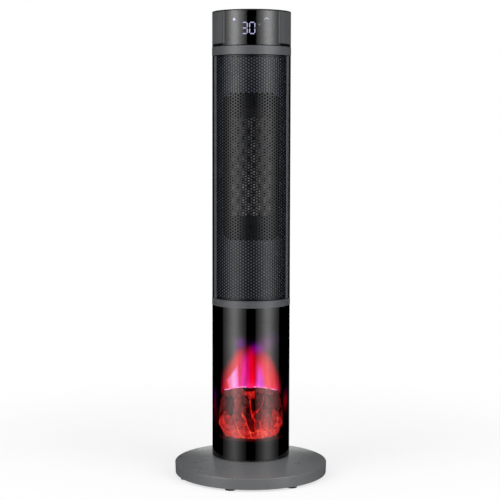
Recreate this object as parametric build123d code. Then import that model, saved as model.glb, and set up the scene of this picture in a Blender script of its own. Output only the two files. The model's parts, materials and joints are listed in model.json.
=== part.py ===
from build123d import *
import os
from math import acos, cos, degrees, hypot, pi, radians, sin, sqrt, tan

# Tower heater with a flame effect, in millimetres.
# The origin is on the floor under the middle of the round base, +Z is up and the front faces -Y.
# An azimuth is measured about the tower's axis: 0 is the front, 90 is the right side (+X).

# Heights, from the floor up
FOOT_H = 3.0
BASE_RIM_H = 17.0
BASE_CROWN_H = 11.0
SWIVEL_GAP = 1.0
TUBE_H = 239.0
MID_RING_H = 11.0
GRILLE_H = 375.5
COLLAR_H = 13.0
HEAD_H = 52.5
TOP_PANEL_H = 2.0

# Radii and walls
TOWER_R = 61.0
BASE_R = 120.0
BAND_PROUD = 0.3
SHELL_WALL = 2.5
SHEET_WALL = 1.0
PLATE_WALL = 2.5
BASE_WALL = 2.5
BASE_BEVEL = 1.0

# Gaps: FIT is between nested pieces that stay still, RUN between pieces that pass each other,
# PIN_RUN is the radial clearance of a shaft in its bearing
FIT = 0.2
RUN = 0.3
PIN_RUN = 0.05

# How far a cutting shape runs past the face that it cuts
CUT = 1.0

# Straight foot of a gear tooth's flank, below the base circle
FLANK_FOOT = 0.01

# Base
FOOT_COUNT = 7
FOOT_R = 8.0
FOOT_INSET = 3.0
FOOT_FIRST_AZ = -16.5
WELL_DEPTH = 13.0
WELL_R = 46.0
BOSS_WALL = 3.2
BOSS_H = 10.0
THRUST_RING_H = 1.2
THRUST_RING_W = 8.0
SCREW_BOSS_R = 3.8
SCREW_BOSS_AZ = (0.0, 72.0, 144.0, 216.0, 288.0)
BALLAST_H = 8.0
BALLAST_W = 40.0
BALLAST_EDGE_GAP = 9.0
BALLAST_HALF_AZ = 150.0
CORD_R = 3.5
GLAND_WALL = 2.5
GLAND_LENGTH = 8.0
GLAND_SINK = 0.5
GLAND_PAD = 4.0
GLAND_Z = 11.5
PLUNGER_R = 3.0
PLUNGER_FLANGE = 1.5
PLUNGER_HEAD = 6.0
PLUNGER_TRAVEL = 4.0
PLUNGER_AZ = 163.0
PLUNGER_INSET = 32.0
SWITCH_WALL = 2.0

# Swing drive
SPIGOT_R = 16.0
SPIGOT_BORE = 12.0
GEAR_MODULE = 1.5
GEAR_TEETH = 32
PINION_TEETH = 12
GEAR_H = 6.0
GEAR_ADDENDUM = 0.8
GEAR_DEDENDUM = 1.1
PRESSURE_ANGLE = 20.0
GEAR_BACKLASH = 0.35
SECTOR_TEETH = 13
SPIGOT_TAIL = 2.0
PINION_SHAFT_R = 2.5
PINION_SHAFT_ENTRY = 9.6
SHAFT_HOLE_GAP = 2.0
SWING_MOTOR_R = 15.0
SWING_MOTOR_H = 16.0
SWING_EAR_L = 4.0
SWING_EAR_W = 7.0
SWING_EAR_T = 1.2
RETAINER_H = 3.5
RETAINER_W = 6.0

# Flame tube
TUBE_LENS_HALF_AZ = 110.0
FLOOR_T = 4.0
LIP_H = 8.0
LIP_W = 2.0
CABLE_R = 8.0
LEG_R = 4.0
LEG_INSET = 10.0
LEG_AZ = (0.0, 110.0, 250.0)
TRAY_RISE = 24.0
TRAY_T = 3.0
COAL_H = 80.0
COAL_WALL = 9.0
COAL_CAP = 18.0
COAL_CREST = 4.0
COAL_GAP = 0.8
LUMP_ROOM = 10.0
HEAP_AZ = (-96, -70, -45, -20, 20, 45, 70, 96)
HEAP_BACK_SHARE = 0.8
# The heap's outline: share of its height, distance in from the tube's wall
HEAP_PROFILE = ((0.0, 13.0), (0.14, 8.0), (0.34, 4.5), (0.55, 5.5), (0.8, 11.0), (1.0, 15.0))
# Rows of coals: share of the height, distance in from the wall, coals, half spread in azimuth, size
COAL_ROWS = (
    (0.12, 17.0, 6, 70, 11),
    (0.42, 13.5, 5, 62, 12),
    (0.72, 18.0, 5, 58, 11),
    (0.93, 24.0, 4, 52, 10),
)
LUMP_CORNER_COUNT = 10
LUMP_TURN_ANGLE = 2.4
LUMP_UNEVEN = 0.18
LUMP_DEPTH_SHARE = 0.8
LUMP_HEIGHT_SHARE = 0.75
LUMP_NOD_ANGLE = 40.0
LUMP_ROLL_ANGLE = 35.0
LAMP_W = 3.6
LAMP_H = 1.6
LAMP_PITCH = 8.0
EMBER_BOARD_W = 48.0
EMBER_BOARD_D = 10.0
EMBER_BOARD_Y = -19.0
EMBER_LAMP_COUNT = 6
FLAME_BOARD_W = 40.0
FLAME_BOARD_D = 6.0
FLAME_BOARD_Y = 12.0
FLAME_LAMP_COUNT = 5
SCREEN_HALF_W = 48.0
SCREEN_T = 2.0
SCREEN_Y = 7.0
SPINDLE_Y = 26.0
SPINDLE_RISE = 30.0
SPINDLE_R = 2.0
SPINDLE_HALF = 26.0
PADDLE_R = 10.0
PADDLE_ROW_COUNT = 4
FLICKER_MOTOR_R = 10.0
FLICKER_MOTOR_L = 12.0
BRACKET_HALF_W = 6.0
BRACKET_T = 2.0
SPINDLE_TIP = 1.0
SPINDLE_ENTRY = 8.0
PADDLE_T = 0.8
PADDLE_GAP = 1.0
PADDLE_TURN = 45.0
BULKHEAD_T = 4.0
RIB_T = 1.8
RIB_DROP = 5.0

# Perforated grille and window
GRILLE_HALF_AZ = 95.0
HOLE_FIELD_HALF_AZ = 63.0
HOLE_COLUMNS = 19
HOLE_ROWS = 5
HOLE_W = 4.0
HOLE_BRIDGE = 6.0
HOLE_MARGIN = 4.0
WINDOW_HALF_W = 43.8
WINDOW_RISE = 93.4
WINDOW_DROP = 57.9
WINDOW_CORNER = 13.0
HOUSING_TUCK_AZ = 1.0
MID_RING_LAP = 2.0
COLLAR_LAP = 4.0

# Rear housing
LOUVRE_HALF_AZ = 48.0
LOUVRE_COLUMNS = 12
LOUVRE_ROWS = 3
LOUVRE_W = 4.4
LOUVRE_BRIDGE = 8.0
INTAKE_RISE = 99.0
INTAKE_HANDLE_GAP = 9.5
INTAKE_MARGIN = 3.0
FILTER_T = 0.8
FILTER_LAP_AZ = 5.0
HANDLE_HALF_W = 36.0
HANDLE_H = 32.0
HANDLE_DEPTH = 26.0
HANDLE_CORNER = 9.0
HANDLE_DROP = 35.0
GRIP_PANEL_MARGIN = 8.0
ROCKER_RISE = 39.0
ROCKER_HALF_W = 8.0
ROCKER_HALF_L = 8.0
ROCKER_EDGE = 3.0
ROCKER_TILT_ANGLE = 10.0
ROCKER_BODY_DEPTH = 20.0
ROCKER_VALLEY = 1.2
ROCKER_BELLY = 6.0
ROCKER_DROP = 2.0
SWITCH_BOX_WALL = 1.2
SWITCH_BACK_WALL = 2.0
PIVOT_R = 1.4
PIVOT_L = 1.2
BEZEL_PROUD = 1.3
BEZEL_W = 2.5
BEZEL_CORNER = 2.0

# Heating element
PTC_HALF_W = 31.8
PTC_H = 150.0
PTC_DEPTH = 14.0
PTC_BAR_W = 5.0
PTC_BAR_COUNT = 3
PTC_RAIL_W = 1.5
PTC_FOLD_COUNT = 17
PTC_FOIL = 0.8
PTC_INSET = 1.0
FRAME_RIM = 3.2
DUCT_RISE = 13.0
TERMINAL_W = 36.0
TERMINAL_D = 5.0
TERMINAL_H = 9.0
TERMINAL_PITCH = 11.0
TAB_W = 6.0
TAB_T = 0.8
TAB_L = 5.0
CUTOUT_T = 4.0
CUTOUT_RIM = 0.5
CUTOUT_EAR_HALF = 12.0
CUTOUT_EAR_W = 6.0
CUTOUT_EAR_T = 1.0

# Blower
BLOWER_R = 28.0
BLADE_DEPTH = 6.5
BLADE_T = 1.0
BLADE_COUNT = 20
BLADE_SWEEP_ANGLE = 16.0
BLADE_BEND = 0.55
BLADE_BEND_SWEEP = 0.3
BLADE_TIP_GAP = 0.5
WHEEL_DISC_T = 2.0
WHEEL_END_GAP = 3.0
SHAFT_R = 3.0
BLOWER_PTC_GAP = 12.0
SCROLL_GAP = 3.0
SCROLL_T = 1.5
SCROLL_TAIL = 4.0
SCROLL_ANGLES = (100.0, 50.0, 0.0)
TONGUE_TIP_ANGLE = 205.0
TONGUE_HEEL_ANGLE = 198.0
TONGUE_RISE = 2.5
TONGUE_T = 2.0
FAN_MOTOR_R = 24.0
FAN_MOTOR_H = 42.0
MOTOR_END = 4.0
SHAFT_END_GAP = 1.0
BEARING_H = 8.0
BEARING_R = 6.5
BEARING_FLANGE_R = 9.0
BEARING_FLANGE_T = 2.0

# Power board
POWER_BOARD_W = 56.0
POWER_BOARD_GAP = 12.0
POWER_EDGE = 4.0
RELAY_W = 16.0
RELAY_D = 15.0
RELAY_H = 20.0
CAPACITOR_W = 26.0
CAPACITOR_D = 10.0
CAPACITOR_H = 14.0
STRIP_W = 16.0
STRIP_D = 10.0
STRIP_H = 10.0

# Head
LENS_HALF_AZ = 46.5
LENS_WALL = 2.2
CHEEK_SLOT_TO_AZ = 77.0
CHEEK_SLOT_H = 4.4
LEDGE_RISE = 6.0
LEDGE_W = 9.0
LEDGE_T = 2.0
BOARD_HALF_W = 34.0
BOARD_T = 1.6
BOARD_SETBACK = 15.5
BOARD_TOP_GAP = 6.0
DIGITS_HALF_W = 15.0
DIGITS_X = -4.2
DIGITS_H = 26.0
DIGITS_T = 5.5
DIGITS_RISE = 27.0
ICON_RISE = 39.5
ICON_R = 2.5
ICON_L = 4.0
ICON_AZ = (-26.8, 23.3)
TOP_PANEL_EDGE = 0.6

# Levels
RIM_TOP = FOOT_H + BASE_RIM_H
NECK_TOP = RIM_TOP + BASE_CROWN_H
TUBE_Z = NECK_TOP + SWIVEL_GAP
RING_Z = TUBE_Z + TUBE_H
GRILLE_Z = RING_Z + MID_RING_H
COLLAR_Z = GRILLE_Z + GRILLE_H
HEAD_Z = COLLAR_Z + COLLAR_H
TOP_Z = HEAD_Z + HEAD_H
WELL_FLOOR = NECK_TOP - WELL_DEPTH
PLATE_TOP = FOOT_H + PLATE_WALL
FLOOR_Z = NECK_TOP + THRUST_RING_H + RUN
FLOOR_TOP = FLOOR_Z + FLOOR_T
TRAY_Z = FLOOR_TOP + TRAY_RISE
TRAY_TOP = TRAY_Z + TRAY_T
BULKHEAD_Z = RING_Z - BULKHEAD_T
WINDOW_Z = GRILLE_Z + WINDOW_RISE
WINDOW_H = GRILLE_H - WINDOW_RISE - WINDOW_DROP
PTC_MID_Z = WINDOW_Z + WINDOW_H / 2
DUCT_Z = PTC_MID_Z - PTC_H / 2 - DUCT_RISE
DUCT_TOP = PTC_MID_Z + PTC_H / 2 + DUCT_RISE
DUCT_ROOF_TOP = DUCT_TOP + PLATE_WALL
HANDLE_Z = COLLAR_Z - HANDLE_DROP
ROCKER_Z = GRILLE_Z + ROCKER_RISE
INTAKE_Z = GRILLE_Z + INTAKE_RISE
INTAKE_TOP = HANDLE_Z - HANDLE_H / 2 - PLATE_WALL - INTAKE_HANDLE_GAP
GRIP_PANEL_Z = HANDLE_Z - HANDLE_H / 2 - GRIP_PANEL_MARGIN

# Radii and places that follow from the sizes above
TUBE_IN = TOWER_R - SHELL_WALL
NEST_R = TUBE_IN - FIT
HOUSING_OUT = TOWER_R - SHEET_WALL - FIT
HOUSING_IN = HOUSING_OUT - SHELL_WALL
DECK_R = HOUSING_IN - FIT
NECK_R = TOWER_R + SWIVEL_GAP
GEAR_PITCH_R = GEAR_MODULE * GEAR_TEETH / 2
PINION_PITCH_R = GEAR_MODULE * PINION_TEETH / 2
GEAR_CENTRES = GEAR_PITCH_R + PINION_PITCH_R
BOSS_BORE = SPIGOT_R + RUN
BOSS_R = BOSS_BORE + BOSS_WALL
FRAME_HALF_W = PTC_HALF_W + FRAME_RIM
PTC_FRONT = -sqrt((DECK_R - RUN) ** 2 - FRAME_HALF_W**2)
PTC_BACK = PTC_FRONT + PTC_DEPTH
BLOWER_Y = PTC_BACK + BLOWER_PTC_GAP + BLOWER_R
ROCKER_Y = TOWER_R - ROCKER_EDGE - ROCKER_DROP
POCKET_BACK = TOWER_R - HANDLE_DEPTH
BOARD_Y = BOARD_SETBACK - TOWER_R


def disc(radius, z0, z1):
    """Round plate between two levels."""
    return Pos(0, 0, z0) * extrude(Circle(radius), z1 - z0)


def ring(outer, inner, z0, z1):
    """Round ring between two levels."""
    return Pos(0, 0, z0) * extrude(Circle(outer) - Circle(inner), z1 - z0)


def sector(outer, inner, centre, half):
    """Plan outline of a piece of a ring, from centre - half to centre + half in azimuth."""
    start = centre - half - 90
    outside = CenterArc((0, 0), outer, start, 2 * half)
    inside = CenterArc((0, 0), inner, start, 2 * half)
    ends = [Line(outside @ 0, inside @ 0), Line(outside @ 1, inside @ 1)]
    return make_face([outside, inside, *ends])


def arc_shell(outer, inner, z0, z1, centre, half):
    """Piece of a tube between two levels."""
    return Pos(0, 0, z0) * extrude(sector(outer, inner, centre, half), z1 - z0)


def block(x, y, z):
    """Box from three pairs of limits."""
    size = (x[1] - x[0], y[1] - y[0], z[1] - z[0])
    return Pos((x[0] + x[1]) / 2, (y[0] + y[1]) / 2, (z[0] + z[1]) / 2) * Box(*size)


def upright(radius, x, y, z0, z1):
    """Upright round post."""
    return Pos(x, y, z0) * extrude(Circle(radius), z1 - z0)


def along_y(outline, y0, y1):
    """Push an outline drawn in X and Z along Y."""
    return extrude(Pos(0, y0, 0) * (Plane.XZ * outline), y0 - y1)


def along_x(outline, x0, x1):
    """Push an outline drawn in Y and Z along X."""
    return extrude(Pos(x0, 0, 0) * (Plane.YZ * outline), x1 - x0)


def turned(*points):
    """Revolve a polygon of radius and height about the tower's axis."""
    return revolve(Plane.XZ * make_face(Polyline(*points, close=True)), Axis.Z)


def around(azimuths, piece):
    """Copies of a piece made at the front, turned to each azimuth."""
    return [Rot(0, 0, azimuth) * piece for azimuth in azimuths]


def spread(half, count):
    """Evenly spaced azimuths from -half to +half."""
    return [half * (2 * index / (count - 1) - 1) for index in range(count)]


def base_shell():
    """Turned cover: side wall, conical crown, neck, well for the swing drive and its boss."""
    wall = BASE_WALL
    return turned(
        (BASE_R, FOOT_H),
        (BASE_R, RIM_TOP - BASE_BEVEL),
        (BASE_R - BASE_BEVEL, RIM_TOP),
        (NECK_R, NECK_TOP),
        (WELL_R, NECK_TOP),
        (WELL_R, WELL_FLOOR),
        (BOSS_R, WELL_FLOOR),
        (BOSS_R, WELL_FLOOR + BOSS_H),
        (BOSS_BORE, WELL_FLOOR + BOSS_H),
        (BOSS_BORE, WELL_FLOOR - wall),
        (WELL_R + wall, WELL_FLOOR - wall),
        (WELL_R + wall, NECK_TOP - wall),
        (NECK_R, NECK_TOP - wall),
        (BASE_R - wall, RIM_TOP - wall - BASE_BEVEL),
        (BASE_R - wall, FOOT_H),
    )


def gland_seat():
    """Where the gland's flange lies against the back wall."""
    return BASE_R - GLAND_WALL - GLAND_SINK


def base_cover():
    """Cover with screw bosses and a flat pad at the back for the cord gland."""
    boss_at = (WELL_R + BASE_WALL + NECK_R) / 2
    boss = upright(SCREW_BOSS_R, 0, -boss_at, PLATE_TOP, NECK_TOP - BASE_WALL / 2)
    seat = gland_seat()
    pad_half = CORD_R + GLAND_WALL + GLAND_PAD
    pad_z = (PLATE_TOP, RIM_TOP - BASE_WALL)
    pad = block((-pad_half, pad_half), (seat - GLAND_PAD, BASE_R), pad_z)
    pad = pad & disc(BASE_R - BASE_WALL / 2, 0, RIM_TOP)
    centre = Pos(0, GLAND_Z)
    pocket = along_y(centre * Circle(CORD_R + GLAND_WALL + 2 * FIT), seat, BASE_R + CUT)
    hole = along_y(centre * Circle(CORD_R + GLAND_WALL / 2), seat - GLAND_PAD - CUT, BASE_R + CUT)
    return base_shell() + around(SCREW_BOSS_AZ, boss) + pad - pocket - hole


def base_plate():
    """Flat bottom plate inside the cover's side wall."""
    plate = disc(BASE_R - BASE_WALL - FIT, FOOT_H, PLATE_TOP)
    x, y = plunger_place()
    return plate - upright(PLUNGER_R + RUN, x, y, 0, PLATE_TOP + CUT)


def ballast_ring():
    """Cast weight that lies on the base plate, open at the back for the cord and the switch."""
    outer = BASE_R - BALLAST_EDGE_GAP
    return arc_shell(outer, outer - BALLAST_W, PLATE_TOP, PLATE_TOP + BALLAST_H, 0, BALLAST_HALF_AZ)


def rubber_feet():
    """Round pads under the base plate, near its edge."""
    azimuths = [FOOT_FIRST_AZ + 360 / FOOT_COUNT * index for index in range(FOOT_COUNT)]
    return around(azimuths, upright(FOOT_R, 0, -(BASE_R - FOOT_INSET - FOOT_R), 0, FOOT_H))


def cord_gland():
    """Flanged bush in the base's back wall; the cord itself is not shown in the photo."""
    seat = gland_seat()
    centre = Pos(0, GLAND_Z)
    inner_end = seat + GLAND_WALL - GLAND_LENGTH
    flange = along_y(centre * Circle(CORD_R + GLAND_WALL), seat, seat + GLAND_WALL)
    barrel = along_y(centre * Circle(CORD_R + GLAND_WALL / 2 - FIT), inner_end, seat)
    return flange + barrel - along_y(centre * Circle(CORD_R), inner_end - CUT, BASE_R)


def plunger_place():
    """Centre of the tip-over plunger in plan."""
    angle = radians(PLUNGER_AZ - 90)
    pitch_r = BASE_R - PLUNGER_INSET
    return pitch_r * cos(angle), pitch_r * sin(angle)


def plunger_flange_z():
    """Underside of the plunger's flange while the heater stands on the floor."""
    return PLATE_TOP + PLUNGER_TRAVEL + RUN


def tip_plunger():
    """Pin that the floor holds up; it drops when the heater is lifted or falls."""
    x, y = plunger_place()
    flange_z = plunger_flange_z()
    pin = upright(PLUNGER_R, x, y, 0, flange_z + PLUNGER_HEAD)
    return pin + upright(PLUNGER_R + PLUNGER_FLANGE, x, y, flange_z, flange_z + PLUNGER_FLANGE)


def tip_switch():
    """Switch cage on the base plate, over the plunger."""
    x, y = plunger_place()
    bore = PLUNGER_R + PLUNGER_FLANGE + RUN
    half = bore + SWITCH_WALL
    top = plunger_flange_z() + PLUNGER_HEAD + RUN
    cage = block((x - half, x + half), (y - half, y + half), (PLATE_TOP, top + SWITCH_WALL))
    return cage - upright(bore, x, y, PLATE_TOP - CUT, top)


def thrust_ring():
    """Slippery washer on the neck; the tower turns on it."""
    outer = TUBE_IN - 2 * RUN
    return ring(outer, outer - THRUST_RING_W, NECK_TOP, NECK_TOP + THRUST_RING_H)


def involute(radius, base_radius):
    """Involute angle at a radius."""
    if radius <= base_radius:
        return 0.0
    pressure = acos(base_radius / radius)
    return tan(pressure) - pressure


def tooth_points(teeth, centre_angle):
    """Corner points of one stub involute tooth, anticlockwise, about a gear's own centre."""
    pitch = GEAR_MODULE * teeth / 2
    base_radius = pitch * cos(radians(PRESSURE_ANGLE))
    root = pitch - GEAR_DEDENDUM * GEAR_MODULE
    tip = pitch + GEAR_ADDENDUM * GEAR_MODULE
    half_at_pitch = (pi / 2 - GEAR_BACKLASH / GEAR_MODULE) / teeth + involute(pitch, base_radius)
    flank = []
    for radius in (root, max(root, base_radius) + FLANK_FOOT, pitch, tip):
        flank.append((radius, half_at_pitch - involute(radius, base_radius)))
    right = [(radius * cos(centre_angle - half), radius * sin(centre_angle - half)) for radius, half in flank]
    left = [(radius * cos(centre_angle + half), radius * sin(centre_angle + half)) for radius, half in flank]
    return right + left[::-1]


def fixed_gear():
    """Toothed sector round the boss, with its teeth towards the back."""
    bore = BOSS_R + FIT
    root = GEAR_PITCH_R - GEAR_DEDENDUM * GEAR_MODULE
    step = 2 * pi / GEAR_TEETH
    points = [(0, 0)]
    for index in range(SECTOR_TEETH):
        points += tooth_points(GEAR_TEETH, pi / 2 + (index - (SECTOR_TEETH - 1) / 2) * step)
    outline = Circle(root) + make_face(Polyline(*points, close=True)) - Circle(bore)
    return Pos(0, 0, WELL_FLOOR) * extrude(outline, GEAR_H)


def swing_pinion():
    """Motor pinion and its shaft; the pinion's tooth gap faces the fixed gear at rest."""
    z0 = WELL_FLOOR + 2 * RUN
    step = 2 * pi / PINION_TEETH
    points = []
    for index in range(PINION_TEETH):
        points += tooth_points(PINION_TEETH, -pi / 2 + (index + 0.5) * step)
    teeth = Pos(0, GEAR_CENTRES, z0) * extrude(make_face(Polyline(*points, close=True)), GEAR_H - 2 * RUN)
    shaft = upright(PINION_SHAFT_R, 0, GEAR_CENTRES, z0, FLOOR_TOP + PINION_SHAFT_ENTRY)
    return teeth + shaft


def swing_motor():
    """Geared motor on the tower floor, over the pinion's shaft."""
    can = upright(SWING_MOTOR_R, 0, GEAR_CENTRES, FLOOR_TOP, FLOOR_TOP + SWING_MOTOR_H)
    ear_x = SWING_MOTOR_R + SWING_EAR_L
    ear_y = (GEAR_CENTRES - SWING_EAR_W / 2, GEAR_CENTRES + SWING_EAR_W / 2)
    ears = block((-ear_x, ear_x), ear_y, (FLOOR_TOP, FLOOR_TOP + SWING_EAR_T))
    bore_top = FLOOR_TOP + PINION_SHAFT_ENTRY + RUN
    bore = upright(PINION_SHAFT_R + PIN_RUN, 0, GEAR_CENTRES, FLOOR_TOP - CUT, bore_top)
    return can + ears - bore


def tower_floor():
    """Floor of the tower: a plate with a locating rim and the hollow spigot that it turns on."""
    lip_top = FLOOR_TOP + LIP_H
    spigot_foot = WELL_FLOOR - BASE_WALL - RUN - RETAINER_H - SPIGOT_TAIL
    body = turned(
        (NEST_R, FLOOR_Z),
        (NEST_R, lip_top),
        (NEST_R - LIP_W, lip_top),
        (NEST_R - LIP_W, FLOOR_TOP),
        (SPIGOT_BORE, FLOOR_TOP),
        (SPIGOT_BORE, spigot_foot),
        (SPIGOT_R, spigot_foot),
        (SPIGOT_R, FLOOR_Z),
    )
    hole_r = PINION_SHAFT_R + SHAFT_HOLE_GAP
    return body - upright(hole_r, 0, GEAR_CENTRES, FLOOR_Z - CUT, FLOOR_TOP + CUT)


def retaining_ring():
    """Ring on the spigot's foot, under the boss, so that the tower can't lift off."""
    top = WELL_FLOOR - BASE_WALL - RUN
    return ring(SPIGOT_R + RETAINER_W, SPIGOT_R + PIN_RUN, top - RETAINER_H, top)


def flame_lens():
    """Smoked front of the flame tube."""
    return arc_shell(TOWER_R, TUBE_IN, TUBE_Z, RING_Z, 0, TUBE_LENS_HALF_AZ)


def lower_rear_cover():
    """Back of the flame tube."""
    half = 180 - TUBE_LENS_HALF_AZ - degrees(FIT / TOWER_R)
    return arc_shell(TOWER_R, TUBE_IN, TUBE_Z, RING_Z, 180, half)


def coal_tray():
    """Shelf for the flame parts, on three legs; the cable passes through its middle."""
    cable_hole = upright(CABLE_R, 0, NEST_R - LEG_INSET, TRAY_Z - CUT, TRAY_TOP + CUT)
    shelf = disc(NEST_R, TRAY_Z, TRAY_TOP) - cable_hole
    legs = around(LEG_AZ, upright(LEG_R, 0, -(NEST_R - LEG_INSET), FLOOR_TOP, TRAY_Z + TRAY_T / 2))
    return shelf + legs


def heap(inset, height):
    """Convex heap that fills the front half of the tube and leans back as it rises."""
    back_y = SCREEN_Y - SCREEN_T - inset
    points = []
    for share, pull in HEAP_PROFILE:
        z = TRAY_TOP + share * height
        reach = TUBE_IN - pull - inset
        for azimuth in HEAP_AZ:
            angle = radians(azimuth - 90)
            points.append((reach * cos(angle), min(back_y, reach * sin(angle)), z))
        points.append((reach * HEAP_BACK_SHARE, back_y, z))
        points.append((-reach * HEAP_BACK_SHARE, back_y, z))
    return ConvexPolyhedron(points)


def lump(index, azimuth, reach, z, size):
    """One faceted coal with its own turn and proportions."""
    angle = radians(azimuth - 90)
    points = []
    for corner in range(LUMP_CORNER_COUNT):
        turn = corner * LUMP_TURN_ANGLE + index
        rise = 1 - 2 * (corner + 0.5) / LUMP_CORNER_COUNT
        girth = size * sqrt(1 - rise * rise) * (1 + LUMP_UNEVEN * sin(3 * index + corner))
        depth = LUMP_DEPTH_SHARE * girth * sin(turn)
        points.append((girth * cos(turn), depth, LUMP_HEIGHT_SHARE * size * rise))
    turned_to = Rot(LUMP_NOD_ANGLE * sin(index), LUMP_ROLL_ANGLE * cos(index), 0)
    return Pos(reach * cos(angle), reach * sin(angle), z) * turned_to * ConvexPolyhedron(points)


def coal_bed():
    """Hollow translucent moulding of heaped coals that the lamps shine through."""
    lumps = []
    for share, inset, count, half, size in COAL_ROWS:
        for azimuth in spread(half, count):
            lumps.append(lump(len(lumps), azimuth, TUBE_IN - inset, TRAY_TOP + share * COAL_H, size))
    body = heap(0, COAL_H - COAL_CREST) + lumps
    roof = TRAY_TOP + COAL_H + LUMP_ROOM
    front = block((-TOWER_R, TOWER_R), (-TOWER_R, SCREEN_Y - RUN), (TRAY_TOP, roof))
    space = disc(NEST_R - COAL_GAP, TRAY_TOP, roof) & front
    return (body & space) - heap(COAL_WALL, COAL_H - COAL_CAP)


def lamp_board(width, depth, mid, lamps):
    """Circuit strip on the tray with a row of lamps."""
    top = TRAY_TOP + BOARD_T
    strip = block((-width / 2, width / 2), (mid - depth / 2, mid + depth / 2), (TRAY_TOP, top))
    half = LAMP_W / 2
    row = [(index - (lamps - 1) / 2) * LAMP_PITCH for index in range(lamps)]
    return strip + [block((x - half, x + half), (mid - half, mid + half), (top, top + LAMP_H)) for x in row]


def flame_screen():
    """Translucent upright screen behind the coals that catches the moving flame light."""
    y = (SCREEN_Y - SCREEN_T / 2, SCREEN_Y + SCREEN_T / 2)
    return block((-SCREEN_HALF_W, SCREEN_HALF_W), y, (TRAY_TOP, BULKHEAD_Z))


def flicker_bracket():
    """Bent bracket on the tray with an ear at each end of the spindle."""
    y = (SPINDLE_Y - BRACKET_HALF_W, SPINDLE_Y + BRACKET_HALF_W)
    top = TRAY_TOP + SPINDLE_RISE + BRACKET_HALF_W
    foot = block((-SPINDLE_HALF, SPINDLE_HALF), y, (TRAY_TOP, TRAY_TOP + BRACKET_T))
    ears = [block((x - BRACKET_T, x), y, (TRAY_TOP, top)) for x in (BRACKET_T - SPINDLE_HALF, SPINDLE_HALF)]
    bore = Pos(SPINDLE_Y, TRAY_TOP + SPINDLE_RISE) * Circle(SPINDLE_R + PIN_RUN)
    return foot + ears - along_x(bore, -TOWER_R, TOWER_R)


def flicker_motor():
    """Small motor on the right ear of the bracket."""
    centre = Pos(SPINDLE_Y, TRAY_TOP + SPINDLE_RISE)
    can = along_x(centre * Circle(FLICKER_MOTOR_R), SPINDLE_HALF, SPINDLE_HALF + FLICKER_MOTOR_L)
    bore_end = SPINDLE_HALF + SPINDLE_ENTRY + SPINDLE_TIP
    bore = along_x(centre * Circle(SPINDLE_R + PIN_RUN), SPINDLE_HALF - CUT, bore_end)
    return can - bore


def flicker_spindle():
    """Shaft with rows of shiny paddles that chop the light."""
    centre = Pos(SPINDLE_Y, TRAY_TOP + SPINDLE_RISE)
    shaft = along_x(centre * Circle(SPINDLE_R), -SPINDLE_HALF - SPINDLE_TIP, SPINDLE_HALF + SPINDLE_ENTRY)
    pitch = 2 * (SPINDLE_HALF - 2 * BRACKET_T - PADDLE_GAP) / PADDLE_ROW_COUNT
    paddles = []
    for row in range(PADDLE_ROW_COUNT):
        x = (row - PADDLE_ROW_COUNT / 2) * pitch + PADDLE_GAP / 2
        for side in range(2):
            blade = Rot(0, 0, 90 * side + PADDLE_TURN * row) * Rectangle(2 * PADDLE_R, PADDLE_T)
            paddles.append(along_x(centre * blade, x, x + pitch - PADDLE_GAP))
    return shaft + paddles


def mid_bulkhead():
    """Plate at the top of the flame tube, with two ribs that hold the screen's top edge."""
    cable_hole = upright(CABLE_R, 0, NEST_R - LEG_INSET, BULKHEAD_Z - CUT, RING_Z + CUT)
    plate = disc(NEST_R, BULKHEAD_Z, RING_Z) - cable_hole
    gap = SCREEN_T / 2 + FIT
    x = (-SCREEN_HALF_W, SCREEN_HALF_W)
    z = (BULKHEAD_Z - RIB_DROP, BULKHEAD_Z + BULKHEAD_T / 2)
    ribs = [block(x, (y, y + RIB_T), z) for y in (SCREEN_Y + gap, SCREEN_Y - gap - RIB_T)]
    return plate + ribs


def mid_ring():
    """Grey band between the flame tube and the grille."""
    return ring(TOWER_R + BAND_PROUD, HOUSING_IN - MID_RING_LAP, RING_Z, GRILLE_Z)


def front_grille():
    """Perforated steel sheet; the long holes stand in staggered columns."""
    sheet = arc_shell(TOWER_R, TOWER_R - SHEET_WALL, GRILLE_Z, COLLAR_Z, 0, GRILLE_HALF_AZ)
    field = GRILLE_H - 2 * HOLE_MARGIN
    pitch = field / (HOLE_ROWS + 0.5)
    y = (-TOWER_R - CUT, SHEET_WALL + CUT - TOWER_R)
    holes = []
    for column, azimuth in enumerate(spread(HOLE_FIELD_HALF_AZ, HOLE_COLUMNS)):
        for row in range(HOLE_ROWS):
            z0 = GRILLE_Z + HOLE_MARGIN + (row + 0.5 * (column % 2)) * pitch + HOLE_BRIDGE / 2
            z1 = z0 + pitch - HOLE_BRIDGE
            hole = block((-HOLE_W / 2, HOLE_W / 2), y, (z0, z1))
            holes.append(Rot(0, 0, azimuth) * hole)
    return sheet - holes


def front_housing():
    """Inner shell behind the grille, with the rounded window in front of the heater."""
    shell = arc_shell(HOUSING_OUT, HOUSING_IN, GRILLE_Z, COLLAR_Z, 0, GRILLE_HALF_AZ - HOUSING_TUCK_AZ)
    window = Pos(0, PTC_MID_Z) * RectangleRounded(2 * WINDOW_HALF_W, WINDOW_H, WINDOW_CORNER)
    return shell - along_y(window, -TOWER_R, 0)


def handle_outline(grow):
    """Rounded outline of the grip recess, grown by a wall or a gap."""
    width = 2 * (HANDLE_HALF_W + grow)
    return Pos(0, HANDLE_Z) * RectangleRounded(width, HANDLE_H + 2 * grow, HANDLE_CORNER + grow)


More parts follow.
